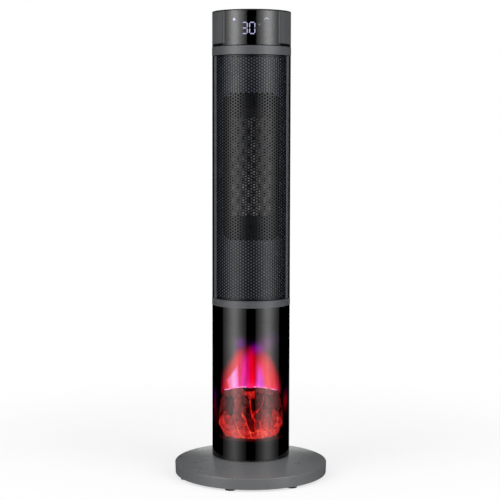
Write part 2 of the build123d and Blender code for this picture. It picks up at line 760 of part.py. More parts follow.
def intake_slots():
    """Cutters for the rows of upright intake slots."""
    pitch = (INTAKE_TOP - INTAKE_Z - 2 * INTAKE_MARGIN) / LOUVRE_ROWS
    x = (-LOUVRE_W / 2, LOUVRE_W / 2)
    slots = []
    for row in range(LOUVRE_ROWS):
        z0 = INTAKE_Z + INTAKE_MARGIN + row * pitch + LOUVRE_BRIDGE / 2
        slot = block(x, (TUBE_IN - CUT, TOWER_R + CUT), (z0, z0 + pitch - LOUVRE_BRIDGE))
        slots += around(spread(LOUVRE_HALF_AZ, LOUVRE_COLUMNS), slot)
    return slots


def rear_shell(z0, z1):
    """Back half of the shell behind the grille, between two levels."""
    half = 180 - GRILLE_HALF_AZ - degrees(FIT / TOWER_R)
    return arc_shell(TOWER_R, TUBE_IN, z0, z1, 180, half)


def rear_housing():
    """Back shell with the air intake and the hole for the mains switch."""
    half_w, half_l = switch_body_half()
    mouth = Pos(0, ROCKER_Z) * Rectangle(2 * (half_w + FIT), 2 * (half_l + FIT))
    shell = rear_shell(GRILLE_Z, GRIP_PANEL_Z - FIT)
    return shell - intake_slots() - along_y(mouth, 0, TOWER_R + CUT)


def grip_panel():
    """Upper back panel, with the hole for the grip."""
    return rear_shell(GRIP_PANEL_Z, COLLAR_Z) - along_y(handle_outline(0), 0, TOWER_R + CUT)


def intake_filter():
    """Thin dust filter behind the air intake."""
    return arc_shell(NEST_R, NEST_R - FILTER_T, INTAKE_Z, INTAKE_TOP, 180, LOUVRE_HALF_AZ + FILTER_LAP_AZ)


def handle_pocket():
    """Cup behind the grip hole, where the fingers go."""
    cup = along_y(handle_outline(PLATE_WALL), POCKET_BACK - PLATE_WALL, TOWER_R)
    cup = cup - along_y(handle_outline(0), POCKET_BACK, TOWER_R + CUT)
    return cup & disc(NEST_R, GRILLE_Z, COLLAR_Z)


def switch_cavity_half():
    """Half sizes of the space that the rocker tips in."""
    swing = hypot(ROCKER_HALF_L, ROCKER_EDGE)
    return ROCKER_HALF_W + RUN, swing + RUN


def switch_body_half():
    """Half sizes of the switch body that goes through the rear housing."""
    half_w, half_l = switch_cavity_half()
    return half_w + SWITCH_BOX_WALL, half_l + SWITCH_BOX_WALL


def switch_body():
    """Mains switch: an open box with a bezel that lies against the curved housing."""
    half_w, half_l = switch_body_half()
    inner_w, inner_l = switch_cavity_half()
    back = TOWER_R - ROCKER_BODY_DEPTH
    front = TOWER_R + BEZEL_PROUD
    centre = Pos(0, ROCKER_Z)
    box = along_y(centre * Rectangle(2 * half_w, 2 * half_l), back, TOWER_R)
    rim = RectangleRounded(2 * (half_w + BEZEL_W), 2 * (half_l + BEZEL_W), BEZEL_CORNER)
    bezel = along_y(centre * rim, TUBE_IN, front)
    bezel = bezel - disc(TOWER_R + FIT / 2, 0, TOP_Z)
    cavity = along_y(centre * Rectangle(2 * inner_w, 2 * inner_l), back + SWITCH_BACK_WALL, front + CUT)
    pivot = Pos(ROCKER_Y, ROCKER_Z) * Circle(PIVOT_R)
    root = inner_w + SWITCH_BOX_WALL / 2
    pins = along_x(pivot, -root, PIVOT_L - inner_w) + along_x(pivot, inner_w - PIVOT_L, root)
    return (box + bezel - cavity) + pins


def power_rocker():
    """Rocker key with a shallow valley in its face, stored tipped to off."""
    face = Polyline((ROCKER_EDGE, -ROCKER_HALF_L), (ROCKER_VALLEY, 0), (ROCKER_EDGE, ROCKER_HALF_L))
    belly = ThreePointArc((ROCKER_EDGE, ROCKER_HALF_L), (-ROCKER_BELLY, 0), (ROCKER_EDGE, -ROCKER_HALF_L))
    outline = Pos(ROCKER_Y, ROCKER_Z) * Rot(0, 0, -ROCKER_TILT_ANGLE) * make_face([face, belly])
    key = along_x(outline, -ROCKER_HALF_W, ROCKER_HALF_W)
    socket = Pos(ROCKER_Y, ROCKER_Z) * Circle(PIVOT_R + PIN_RUN)
    depth = ROCKER_HALF_W - PIVOT_L - RUN
    return key - along_x(socket, -TOWER_R, -depth) - along_x(socket, depth, TOWER_R)


def duct_plate(z0):
    """Plate across the tower, cut flush with the heater's front."""
    front = block((-TOWER_R, TOWER_R), (-TOWER_R, PTC_FRONT), (z0 - CUT, z0 + PLATE_WALL + CUT))
    shaft_hole = upright(SHAFT_R + SHAFT_HOLE_GAP, 0, BLOWER_Y, z0 - CUT, z0 + PLATE_WALL + CUT)
    return disc(DECK_R, z0, z0 + PLATE_WALL) - front - shaft_hole


def duct_floor():
    """Lower duct plate; the fan motor hangs under it."""
    return duct_plate(DUCT_Z - PLATE_WALL)


def duct_roof():
    """Upper duct plate; it carries the bearing and the power board."""
    return duct_plate(DUCT_TOP)


def ptc_frame():
    """Heat-proof frame round the element, from the duct floor to the duct roof."""
    y = (PTC_FRONT, PTC_BACK)
    frame = block((-FRAME_HALF_W, FRAME_HALF_W), y, (DUCT_Z, DUCT_TOP))
    half_z = PTC_H / 2 + FIT
    half_x = PTC_HALF_W + FIT
    mouth = block((-half_x, half_x), (y[0] - CUT, y[1] + CUT), (PTC_MID_Z - half_z, PTC_MID_Z + half_z))
    return frame - mouth


def ptc_bank_width():
    """Width of one bank of corrugated fins between two bars."""
    return (2 * PTC_HALF_W - PTC_BAR_COUNT * PTC_BAR_W - 2 * PTC_RAIL_W) / (PTC_BAR_COUNT + 1)


def ptc_bars():
    """Upright ceramic bars and the two side rails of the element."""
    y = (PTC_FRONT + PTC_INSET, PTC_BACK - PTC_INSET)
    z = (PTC_MID_Z - PTC_H / 2, PTC_MID_Z + PTC_H / 2)
    bank = ptc_bank_width()
    x = -PTC_HALF_W
    bars = [block((x, x + PTC_RAIL_W), y, z)]
    x += PTC_RAIL_W
    for _ in range(PTC_BAR_COUNT):
        bars.append(block((x + bank, x + bank + PTC_BAR_W), y, z))
        x += bank + PTC_BAR_W
    bars.append(block((x + bank, x + bank + PTC_RAIL_W), y, z))
    return bars


def folded_strip(x0, x1, z0):
    """Outline of one strip of foil folded back and forth between two bars."""
    step = (PTC_H - PTC_FOIL) / PTC_FOLD_COUNT
    nook = (x1 - x0) * PTC_FOIL / (2 * step)
    right = []
    left = []
    for fold in range(PTC_FOLD_COUNT + 1):
        z = z0 + fold * step
        inside = 0 < fold < PTC_FOLD_COUNT
        if fold % 2:
            right += [(x1, z), (x1, z + PTC_FOIL)]
            left += [(x1 - nook, z + PTC_FOIL / 2)] * inside
        else:
            left += [(x0, z), (x0, z + PTC_FOIL)]
            right += [(x0 + nook, z + PTC_FOIL / 2)] * inside
    return make_face(Polyline(*right, *reversed(left), close=True))


def ptc_fins():
    """Corrugated foil between the bars, one folded strip for each bank."""
    bank = ptc_bank_width()
    strips = []
    for index in range(PTC_BAR_COUNT + 1):
        x0 = -PTC_HALF_W + PTC_RAIL_W + index * (bank + PTC_BAR_W)
        strip = folded_strip(x0, x0 + bank, PTC_MID_Z - PTC_H / 2)
        strips.append(along_y(strip, PTC_FRONT + PTC_INSET, PTC_BACK - PTC_INSET))
    return strips


def ptc_terminals():
    """Terminal block with three tabs on the back of the frame."""
    z = (DUCT_Z + PTC_INSET, DUCT_Z + PTC_INSET + TERMINAL_H)
    body = block((-TERMINAL_W / 2, TERMINAL_W / 2), (PTC_BACK, PTC_BACK + TERMINAL_D), z)
    tab_y = PTC_BACK + (TERMINAL_D - TAB_T) / 2
    tabs = [
        block((x - TAB_W / 2, x + TAB_W / 2), (tab_y, tab_y + TAB_T), (z[0], z[1] + TAB_L))
        for x in (-TERMINAL_PITCH, 0, TERMINAL_PITCH)
    ]
    return body + tabs


def thermal_cutout():
    """Snap-disc thermostat on the back of the frame, above the element."""
    z = DUCT_TOP - DUCT_RISE / 2
    can = along_y(Pos(0, z) * Circle(DUCT_RISE / 2 - CUTOUT_RIM), PTC_BACK, PTC_BACK + CUTOUT_T)
    ear_z = (z - CUTOUT_EAR_W / 2, z + CUTOUT_EAR_W / 2)
    ears = block((-CUTOUT_EAR_HALF, CUTOUT_EAR_HALF), (PTC_BACK, PTC_BACK + CUTOUT_EAR_T), ear_z)
    return can + ears


def blower_point(radius, angle):
    """Point in plan at a radius and angle (from +X) about the blower's axis."""
    return radius * cos(radians(angle)), BLOWER_Y + radius * sin(radians(angle))


def scroll_wall():
    """Curved air guide that opens from the back of the wheel to the heater's right edge."""
    near = BLOWER_R + SCROLL_GAP
    wide = FRAME_HALF_W + FIT
    radii = (near, (near + wide) / 2, wide)
    inner = ThreePointArc(*[blower_point(r, a) for r, a in zip(radii, SCROLL_ANGLES)])
    outer = ThreePointArc(*[blower_point(r + SCROLL_T, a) for r, a in zip(radii, SCROLL_ANGLES)])
    end_y = PTC_BACK - SCROLL_TAIL
    tail = Polyline(inner @ 1, (wide, end_y), (wide + SCROLL_T, end_y), outer @ 1)
    outline = make_face([inner, tail, outer, Line(outer @ 0, inner @ 0)])
    return Pos(0, 0, DUCT_Z) * extrude(outline, DUCT_TOP - DUCT_Z)


def tongue():
    """Wedge between the wheel and the heater's left edge that cuts the air off."""
    near = BLOWER_R + SCROLL_GAP
    tip = blower_point(near, TONGUE_TIP_ANGLE)
    heel = blower_point(near + TONGUE_RISE, TONGUE_HEEL_ANGLE)
    edge = -FRAME_HALF_W
    outline = make_face(Polyline(tip, heel, (edge, PTC_BACK), (edge + TONGUE_T, PTC_BACK), close=True))
    return Pos(0, 0, DUCT_Z) * extrude(outline, DUCT_TOP - DUCT_Z)


def fan_motor():
    """Motor under the duct floor, with a bore for the wheel's shaft."""
    top = DUCT_Z - PLATE_WALL
    low = top - FAN_MOTOR_H
    can = upright(FAN_MOTOR_R, 0, BLOWER_Y, low, top)
    return can - upright(SHAFT_R + PIN_RUN, 0, BLOWER_Y, low + MOTOR_END, top + CUT)


def top_bearing():
    """Flanged bearing on the duct roof for the wheel's upper shaft."""
    z0 = DUCT_ROOF_TOP
    bore = SHAFT_R + PIN_RUN
    flange = ring(BEARING_FLANGE_R, bore, z0, z0 + BEARING_FLANGE_T)
    return Pos(0, BLOWER_Y, 0) * (flange + ring(BEARING_R, bore, z0, z0 + BEARING_H))


def blade_outline(angle):
    """Forward-curved blade of a bent strip, about the blower's axis."""
    inner = BLOWER_R - BLADE_DEPTH
    bend = inner + BLADE_DEPTH * BLADE_BEND
    stations = ((inner, 0.0), (bend, BLADE_BEND_SWEEP), (BLOWER_R - BLADE_TIP_GAP, 1.0))
    low = []
    high = []
    for radius, share in stations:
        lean = radians(angle + BLADE_SWEEP_ANGLE * share)
        half = BLADE_T / 2 / radius
        low.append((radius * cos(lean - half), radius * sin(lean - half)))
        high.append((radius * cos(lean + half), radius * sin(lean + half)))
    return make_face(Polyline(*low, *reversed(high), close=True))


def blower_rotor():
    """Crossflow wheel: end discs with shaft stubs, a middle ring and forward-curved blades."""
    z0 = DUCT_Z + WHEEL_END_GAP
    z1 = DUCT_TOP - WHEEL_END_GAP
    mid = (z0 + z1) / 2
    motor_low = DUCT_Z - PLATE_WALL - FAN_MOTOR_H
    discs = [disc(BLOWER_R, z0, z0 + WHEEL_DISC_T), disc(BLOWER_R, z1 - WHEEL_DISC_T, z1)]
    inner = BLOWER_R - BLADE_DEPTH - BLADE_TIP_GAP
    middle = ring(BLOWER_R, inner, mid - WHEEL_DISC_T / 2, mid + WHEEL_DISC_T / 2)
    step = 360 / BLADE_COUNT
    blades = []
    for index in range(BLADE_COUNT):
        blades.append(Pos(0, 0, z0) * extrude(blade_outline(index * step), z1 - z0))
    stubs = [
        upright(SHAFT_R, 0, 0, motor_low + MOTOR_END + SHAFT_END_GAP, z0 + WHEEL_DISC_T / 2),
        upright(SHAFT_R, 0, 0, z1 - WHEEL_DISC_T / 2, DUCT_ROOF_TOP + BEARING_H - SHAFT_END_GAP),
    ]
    return Pos(0, BLOWER_Y, 0) * (discs[0] + discs[1] + middle + blades + stubs)


def power_board():
    """Upright circuit board on the duct roof, with relays, a capacitor and a terminal strip."""
    y = -HOUSING_IN / 2
    half = POWER_BOARD_W / 2
    top = COLLAR_Z - BULKHEAD_T - POWER_BOARD_GAP
    low = DUCT_ROOF_TOP + POWER_EDGE
    relay_z = (top - POWER_EDGE - RELAY_H, top - POWER_EDGE)
    sheet = block((-half, half), (y, y + BOARD_T), (DUCT_ROOF_TOP, top))
    relays = [
        block((x, x + RELAY_W), (y - RELAY_D, y), relay_z)
        for x in (POWER_EDGE - half, 2 * POWER_EDGE + RELAY_W - half)
    ]
    capacitor_x = (POWER_EDGE - half, POWER_EDGE + CAPACITOR_W - half)
    capacitor = block(capacitor_x, (y - CAPACITOR_D, y), (low, low + CAPACITOR_H))
    strip_x = (half - POWER_EDGE - STRIP_W, half - POWER_EDGE)
    strip = block(strip_x, (y - STRIP_D, y), (low, low + STRIP_H))
    return sheet + relays + capacitor + strip


def upper_bulkhead():
    """Plate under the collar that closes the grille module and carries the head."""
    plate = disc(DECK_R, COLLAR_Z - BULKHEAD_T, COLLAR_Z)
    return plate - upright(CABLE_R, 0, 0, COLLAR_Z - BULKHEAD_T - CUT, COLLAR_Z + CUT)


def collar():
    """Grey band between the grille and the head, bare at the front."""
    return ring(TOWER_R + BAND_PROUD, DECK_R - COLLAR_LAP, COLLAR_Z, HEAD_Z)


def head_shell():
    """Matt shell of the head with both cheeks, a slot under each and a ledge inside."""
    half = 180 - LENS_HALF_AZ - degrees(FIT / TOWER_R)
    shell = arc_shell(TOWER_R, TUBE_IN, HEAD_Z, TOP_Z, 180, half)
    ledge_z = HEAD_Z + LEDGE_RISE
    ledge = ring(TUBE_IN, TUBE_IN - LEDGE_W, ledge_z, ledge_z + LEDGE_T)
    slot_mid = (LENS_HALF_AZ + CHEEK_SLOT_TO_AZ) / 2
    slot_half = (CHEEK_SLOT_TO_AZ - LENS_HALF_AZ) / 2
    slot_z = (HEAD_Z - CUT, HEAD_Z + CHEEK_SLOT_H)
    slots = [arc_shell(TOWER_R + CUT, TUBE_IN - CUT, *slot_z, side * slot_mid, slot_half) for side in (-1, 1)]
    return shell + ledge - slots


def display_lens():
    """Glossy dark lens between the cheeks."""
    return arc_shell(TOWER_R, TOWER_R - LENS_WALL, HEAD_Z, TOP_Z - FIT, 0, LENS_HALF_AZ)


def display_board():
    """Circuit board behind the lens, standing on the ledge, with two icon lamps."""
    foot = HEAD_Z + LEDGE_RISE + LEDGE_T
    board = block((-BOARD_HALF_W, BOARD_HALF_W), (BOARD_Y, BOARD_Y + BOARD_T), (foot, TOP_Z - BOARD_TOP_GAP))
    lamps = []
    for azimuth in ICON_AZ:
        x = -BOARD_Y * tan(radians(azimuth))
        lamps.append(along_y(Pos(x, HEAD_Z + ICON_RISE) * Circle(ICON_R), BOARD_Y - ICON_L, BOARD_Y))
    return board + lamps


def digit_module():
    """Two-digit lamp block on the board."""
    z = HEAD_Z + DIGITS_RISE
    x = (DIGITS_X - DIGITS_HALF_W, DIGITS_X + DIGITS_HALF_W)
    return block(x, (BOARD_Y - DIGITS_T, BOARD_Y), (z - DIGITS_H / 2, z + DIGITS_H / 2))


def top_panel():
    """Glossy touch panel that closes the head."""
    top = TOP_Z + TOP_PANEL_H
    edge = TOP_PANEL_EDGE
    return turned((0, TOP_Z), (TOWER_R, TOP_Z), (TOWER_R, top - edge), (TOWER_R - edge, top), (0, top))


PIECES = {
    "base_cover": base_cover(),
    "base_plate": base_plate(),
    "ballast_ring": ballast_ring(),
    "rubber_feet": rubber_feet(),
    "cord_gland": cord_gland(),
    "tip_switch": tip_switch(),
    "tip_plunger": tip_plunger(),
    "thrust_ring": thrust_ring(),
    "fixed_gear": fixed_gear(),
    "swing_pinion": swing_pinion(),
    "swing_motor": swing_motor(),
    "tower_floor": tower_floor(),
    "retaining_ring": retaining_ring(),
    "flame_lens": flame_lens(),
    "lower_rear_cover": lower_rear_cover(),
    "coal_tray": coal_tray(),
    "coal_bed": coal_bed(),
    "ember_lamp_board": lamp_board(EMBER_BOARD_W, EMBER_BOARD_D, EMBER_BOARD_Y, EMBER_LAMP_COUNT),
    "flame_lamp_board": lamp_board(FLAME_BOARD_W, FLAME_BOARD_D, FLAME_BOARD_Y, FLAME_LAMP_COUNT),
    "flame_screen": flame_screen(),
    "flicker_bracket": flicker_bracket(),
    "flicker_motor": flicker_motor(),
    "flicker_spindle": flicker_spindle(),
    "mid_bulkhead": mid_bulkhead(),
    "mid_ring": mid_ring(),
    "front_grille": front_grille(),
    "front_housing": front_housing(),
    "rear_housing": rear_housing(),
    "grip_panel": grip_panel(),
    "intake_filter": intake_filter(),
    "handle_pocket": handle_pocket(),
    "switch_body": switch_body(),
    "power_rocker": power_rocker(),
    "duct_floor": duct_floor(),
    "duct_roof": duct_roof(),
    "ptc_frame": ptc_frame(),
    "ptc_bars": ptc_bars(),
    "ptc_fins": ptc_fins(),
    "ptc_terminals": ptc_terminals(),
    "thermal_cutout": thermal_cutout(),
    "scroll_wall": scroll_wall(),
    "tongue": tongue(),
    "fan_motor": fan_motor(),
    "top_bearing": top_bearing(),
    "blower_rotor": blower_rotor(),
    "power_board": power_board(),
    "upper_bulkhead": upper_bulkhead(),
    "collar": collar(),
    "head_shell": head_shell(),
    "display_lens": display_lens(),
    "display_board": display_board(),
    "digit_module": digit_module(),
    "top_panel": top_panel(),
}

os.makedirs("parts", exist_ok=True)
for name, piece in PIECES.items():
    solid = Compound(children=list(piece)) if isinstance(piece, list) else piece
    export_step(solid, "parts/" + name + ".step")
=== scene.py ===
# %% [markdown]
# # A tower heater with a flame effect
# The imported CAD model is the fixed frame: every piece below is made in its place, in metres, and
# rides on one of the frame's bodies. We load the frame first, so that nothing can drift from it.

# %% Load the frame
import bmesh
import bpy
import json
from math import asin, ceil, cos, degrees, exp, hypot, pi, radians, sin, sqrt
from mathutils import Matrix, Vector, noise


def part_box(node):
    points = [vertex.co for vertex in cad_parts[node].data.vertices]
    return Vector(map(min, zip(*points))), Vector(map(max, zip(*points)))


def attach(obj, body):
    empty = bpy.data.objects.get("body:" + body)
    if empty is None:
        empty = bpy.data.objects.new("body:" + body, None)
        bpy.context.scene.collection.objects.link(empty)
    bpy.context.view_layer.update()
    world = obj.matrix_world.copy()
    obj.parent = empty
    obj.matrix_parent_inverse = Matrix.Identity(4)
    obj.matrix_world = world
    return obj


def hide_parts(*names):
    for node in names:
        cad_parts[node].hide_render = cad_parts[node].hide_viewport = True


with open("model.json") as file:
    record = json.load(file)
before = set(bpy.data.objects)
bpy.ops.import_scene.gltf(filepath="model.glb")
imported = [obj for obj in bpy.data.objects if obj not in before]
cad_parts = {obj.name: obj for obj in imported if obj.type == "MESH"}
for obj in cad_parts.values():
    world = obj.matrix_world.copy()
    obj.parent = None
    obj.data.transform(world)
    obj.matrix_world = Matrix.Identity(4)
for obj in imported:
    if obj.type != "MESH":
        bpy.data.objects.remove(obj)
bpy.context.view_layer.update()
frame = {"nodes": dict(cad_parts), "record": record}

cad = frame["nodes"]

# %% [markdown]
# ## Small tools
# The makers of such a heater think in millimetres and in turned, pressed and folded parts. So do
# these helpers: one puts a list of points and faces into the scene, one turns an outline about the
# tower's axis, and one rounds the corners of an outline, because no moulded edge is knife sharp.
# A few more give the faces of the forms that come back often: grids, bars and curved straps.

# %% Piece and outline helpers
MM = 0.001
SIDES = ((-1, "left"), (1, "right"))


def box_of(node):
    """Lowest and highest corner of a CAD part, in millimetres."""
    low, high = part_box(node)
    return Vector(low) / MM, Vector(high) / MM


TOWER_R = box_of("flame_lens")[1].x


def placed(name, points, faces, *materials):
    """An object in the scene, from points in millimetres."""
    mesh = bpy.data.meshes.new(name)
    mesh.from_pydata([tuple(MM * value for value in point) for point in points], [], faces)
    for material in materials:
        mesh.materials.append(material)
    made = bpy.data.objects.new(name, mesh)
    bpy.context.scene.collection.objects.link(made)
    return made


def piece(name, points, faces, body, material, stands_for=(), crease=35):
    """A named piece on a body; edges that bend less than crease are shaded smooth."""
    made = placed(name, points, faces, material)
    shape = bmesh.new()
    shape.from_mesh(made.data)
    bmesh.ops.remove_doubles(shape, verts=shape.verts, dist=MM * MM)
    bmesh.ops.recalc_face_normals(shape, faces=shape.faces)
    for edge in shape.edges:
        edge.smooth = len(edge.link_faces) == 2 and edge.calc_face_angle(0) < radians(crease)
    for face in shape.faces:
        face.smooth = True
    shape.to_mesh(made.data)
    shape.free()
    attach(made, body)
    if stands_for:
        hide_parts(*stands_for)
    return made


def store(made, name, values):
    """Keep a number, or a colour, at each point of a piece."""
    if isinstance(values[0], float):
        layer, key = made.data.attributes.new(name, "FLOAT", "POINT"), "value"
    else:
        layer, key = made.data.color_attributes.new(name, "FLOAT_COLOR", "POINT"), "color"
        values = [(*colour, 1.0) for colour in values]
    for point, value in zip(layer.data, values):
        setattr(point, key, value)


def joined(parts):
    """Several (points, faces) lists as one."""
    points = []
    faces = []
    for part_points, part_faces in parts:
        start = len(points)
        points += part_points
        faces += [tuple(start + index for index in face) for face in part_faces]
    return points, faces


def rounded(outline, steps=5):
    """Outline of (a, b, radius) corners as points, each corner turned into a small arc."""
    points = []
    count = len(outline)
    for index, (a, b, radius) in enumerate(outline):
        here = Vector((a, b))
        if radius <= 0:
            points.append((a, b))
            continue
        before = Vector(outline[index - 1][:2]) - here
        after = Vector(outline[(index + 1) % count][:2]) - here
        half = before.angle(after) / 2
        reach = radius / max(1e-6, abs(sin(half) / cos(half)))
        reach = min(reach, before.length / 2.01, after.length / 2.01)
        start = here + before.normalized() * reach
        end = here + after.normalized() * reach
        for step in range(steps + 1):
            share = step / steps
            points.append(tuple(start * (1 - share) ** 2 + here * 2 * share * (1 - share)
                                + end * share ** 2))
    return points


def turned(outline, steps):
    """Points and faces of a closed outline of (radius, height) turned about the tower's axis."""
    points = []
    faces = []
    count = len(outline)
    for step in range(steps):
        angle = 2 * pi * step / steps
        points += [(radius * cos(angle), radius * sin(angle), z) for radius, z in outline]
    for step in range(steps):
        other = (step + 1) % steps
        for index in range(count):
            after = (index + 1) % count
            faces.append((step * count + index, other * count + index,
                          other * count + after, step * count + after))
    return points, faces


def on_tower(radius, azimuth, z):
    """Point at a radius and an azimuth in degrees from the front, 90 being the right side."""
    turn = radians(azimuth)
    return (radius * sin(turn), -radius * cos(turn), z)


print("tower radius:", round(TOWER_R, 2), "mm")

# %% Faces of grids, bars and straps
BOX_FACES = [(0, 1, 3, 2), (4, 6, 7, 5), (0, 4, 5, 1), (2, 3, 7, 6), (0, 2, 6, 4), (1, 5, 7, 3)]


def grid_faces(columns, rows=1):
    """Faces between points that lie row by row, one point more each way than faces."""
    firsts = [row * (columns + 1) + column for row in range(rows) for column in range(columns)]
    return [(k, k + 1, k + columns + 2, k + columns + 1) for k in firsts]


def bar_faces(stations, capped=False, looped=False):
    """Sides of a bar that has four points at each station, two by two."""
    faces = [(0, 1, 3, 2), tuple(4 * stations - 4 + k for k in (0, 2, 3, 1))] if capped else []
    for a in range(0, 4 * (stations if looped else stations - 1), 4):
        b = (a + 4) % (4 * stations)
        faces += [(a, a + 2, b + 2, b), (a + 1, b + 1, b + 3, a + 3),
                  (a, b, b + 1, a + 1), (a + 2, a + 3, b + 3, b + 2)]
    return faces


def strap(line, heights, back, capped=False):
    """Thin strap round the tower: (azimuth, radius) along its face, and the radius of its back."""
    points = [on_tower(radius, u, z) for z in heights for u, radius in line]
    points += [on_tower(back, u, z) for z in heights for u, _ in line]
    count = len(line)
    faces = [(count * a + k, count * a + k + 1, count * b + k + 1, count * b + k)
             for a, b in ((0, 1), (1, 3), (3, 2), (2, 0)) for k in range(count - 1)]
    if capped:
        faces += [(0, count, 3 * count, 2 * count),
                  (count - 1, 3 * count - 1, 4 * count - 1, 2 * count - 1)]
    return points, faces


print("a box has", len(BOX_FACES), "faces, a bar of two stations", len(bar_faces(2, capped=True)))

# %% [markdown]
# ## Nodes
# A material is a small graph. One helper adds a node and fills its inputs with numbers or links,
# and two more stand for the arithmetic and colour mixing that every graph needs, so the finishes
# further down stay readable. Colours are written as the 0-255 numbers of a colour picker.

# %% Node helpers


def paint(red, green, blue):
    """A picker's colour as the linear colour that the shaders use."""
    linear = []
    for value in (red, green, blue):
        share = value / 255
        linear.append(share / 12.92 if share <= 0.04045 else ((share + 0.055) / 1.055) ** 2.4)
    return (*linear, 1.0)


def grey(value):
    """A neutral linear colour."""
    return (value, value, value, 1.0)


def bare_tree(owner):
    """Empty node tree of a material or world."""
    owner.use_nodes = True
    owner.node_tree.nodes.clear()
    return owner.node_tree


def add(tree, kind, inputs=None, **settings):
    """A node with its settings made and its inputs filled with values or links."""
    made = tree.nodes.new(kind)
    for key, value in settings.items():
        setattr(made, key, value)
    for key, value in (inputs or {}).items():
        if isinstance(value, bpy.types.NodeSocket):
            tree.links.new(value, made.inputs[key])
        else:
            made.inputs[key].default_value = value
    return made


def feed(node, **sources):
    """Link outputs to a node's inputs, whose names are written with underscores."""
    for key, source in sources.items():
        node.id_data.links.new(source, node.inputs[key.replace("_", " ")])


def maths(tree, operation, first, second=0.0, third=0.0):
    """Output of one Math node."""
    made = add(tree, "ShaderNodeMath", {0: first, 1: second, 2: third}, operation=operation)
    return made.outputs[0]


def blend(tree, share, first, second, mode="MIX"):
    """Output of one colour Mix node."""
    made = add(tree, "ShaderNodeMix", {0: share, 6: first, 7: second},
               data_type="RGBA", blend_type=mode)
    return made.outputs[2]


def spread_to(tree, value, low, high, new_low=0.0, new_high=1.0, smooth=True):
    """Value moved from one range to another, with soft ends."""
    made = add(tree, "ShaderNodeMapRange", {"Value": value, "From Min": low, "From Max": high,
                                            "To Min": new_low, "To Max": new_high})
    made.interpolation_type = "SMOOTHSTEP" if smooth else "LINEAR"
    return made.outputs["Result"]


def stops(tree, value, colours):
    """Colour ramp from (place, colour) pairs."""
    made = add(tree, "ShaderNodeValToRGB", {"Fac": value})
    elements = made.color_ramp.elements
    for element, (place, colour) in zip(elements, (colours[0], colours[-1])):
        element.position = place
        element.color = colour
    for place, colour in colours[1:-1]:
        elements.new(place).color = colour
    return made.outputs["Color"]


def object_place(tree):
    """Object coordinates, in metres."""
    return add(tree, "ShaderNodeTexCoord").outputs["Object"]


def object_axes(tree):
    """The three parts of the object coordinates, in metres."""
    parts = add(tree, "ShaderNodeSeparateXYZ", {0: object_place(tree)}).outputs
    return parts[0], parts[1], parts[2]


def from_front(x, y):
    """Angle round the tower from the front, in radians, the same on its two sides."""
    tree = x.id_data
    return maths(tree, "ARCTAN2", maths(tree, "ABSOLUTE", x), maths(tree, "MULTIPLY", y, -1.0))


def speckle(tree, scale, **inputs):
    """Noise at the object's own points, with about so many blotches to the metre."""
    fields = {"Vector": object_place(tree), "Scale": scale, **inputs}
    return add(tree, "ShaderNodeTexNoise", fields).outputs["Fac"]


def new_group(name, takes, gives):
    """Empty node group with named inputs (name, kind, start value) and outputs (name, kind)."""
    group = bpy.data.node_groups.new(name, "ShaderNodeTree")
    for socket, kind, value in takes:
        made = group.interface.new_socket(socket, in_out="INPUT", socket_type="NodeSocket" + kind)
        made.default_value = value
    for socket, kind in gives:
        group.interface.new_socket(socket, in_out="OUTPUT", socket_type="NodeSocket" + kind)
    entry = group.nodes.new("NodeGroupInput")
    leave = group.nodes.new("NodeGroupOutput")
    return group, entry.outputs, leave


print("mid grey of a picker as linear:", [round(value, 3) for value in paint(128, 128, 128)])

# %% [markdown]
# ## Shared effects
# Moulded plastic, paint and cast metal all have a fine grain and slow clouds of tone; only the
# scale differs. That is one node group. A second one draws the hair lines of rolled or brushed
# metal, and a third says where dust settles and hands leave a dull film. They put out colours and
# values only; each material keeps its own shader.

# %% Grain group
grain, takes, gives = new_group(
    "Grain and clouds",
    [("Colour", "Color", (0.1, 0.1, 0.1, 1)), ("Spread", "Float", 0.1), ("Scale", "Float", 2500.0),
     ("Roughness", "Float", 0.5), ("Play", "Float", 0.08)],
    [("Colour", "Color"), ("Roughness", "Float"), ("Height", "Float")],
)
fine = speckle(grain, takes["Scale"], Detail=3.0, Roughness=0.55)
clouds = speckle(grain, 28.0, Detail=4.0, Roughness=0.6)
tone = maths(grain, "ADD", maths(grain, "MULTIPLY", fine, 0.45),
             maths(grain, "MULTIPLY", clouds, 0.55))
gain = maths(grain, "MULTIPLY_ADD", maths(grain, "SUBTRACT", tone, 0.5),
             maths(grain, "MULTIPLY", takes["Spread"], 4.0), 1.0)
gain_colour = add(grain, "ShaderNodeCombineColor", {0: gain, 1: gain, 2: gain}).outputs[0]
rough = maths(grain, "MULTIPLY_ADD", maths(grain, "SUBTRACT", clouds, 0.5),
              maths(grain, "MULTIPLY", takes["Play"], 4.0), takes["Roughness"])
feed(gives, Colour=blend(grain, 1.0, takes["Colour"], gain_colour, "MULTIPLY"),
     Roughness=rough, Height=fine)
print("group:", grain.name, [socket.name for socket in takes][:-1])

# %% Rolled metal group
rolled, takes, gives = new_group(
    "Rolled lines",
    [("Stretch", "Vector", (60.0, 60.0, 4000.0)), ("Roughness", "Float", 0.35),
     ("Play", "Float", 0.15)],
    [("Lines", "Float"), ("Roughness", "Float")],
)
long = add(rolled, "ShaderNodeVectorMath", {0: object_place(rolled), 1: takes["Stretch"]},
           operation="MULTIPLY").outputs[0]
lines = add(rolled, "ShaderNodeTexNoise", {"Vector": long, "Scale": 1.0, "Detail": 2.0}).outputs["Fac"]
rough = maths(rolled, "MULTIPLY_ADD", maths(rolled, "SUBTRACT", lines, 0.5),
              takes["Play"], takes["Roughness"])
feed(gives, Lines=lines, Roughness=rough)
print("group:", rolled.name)

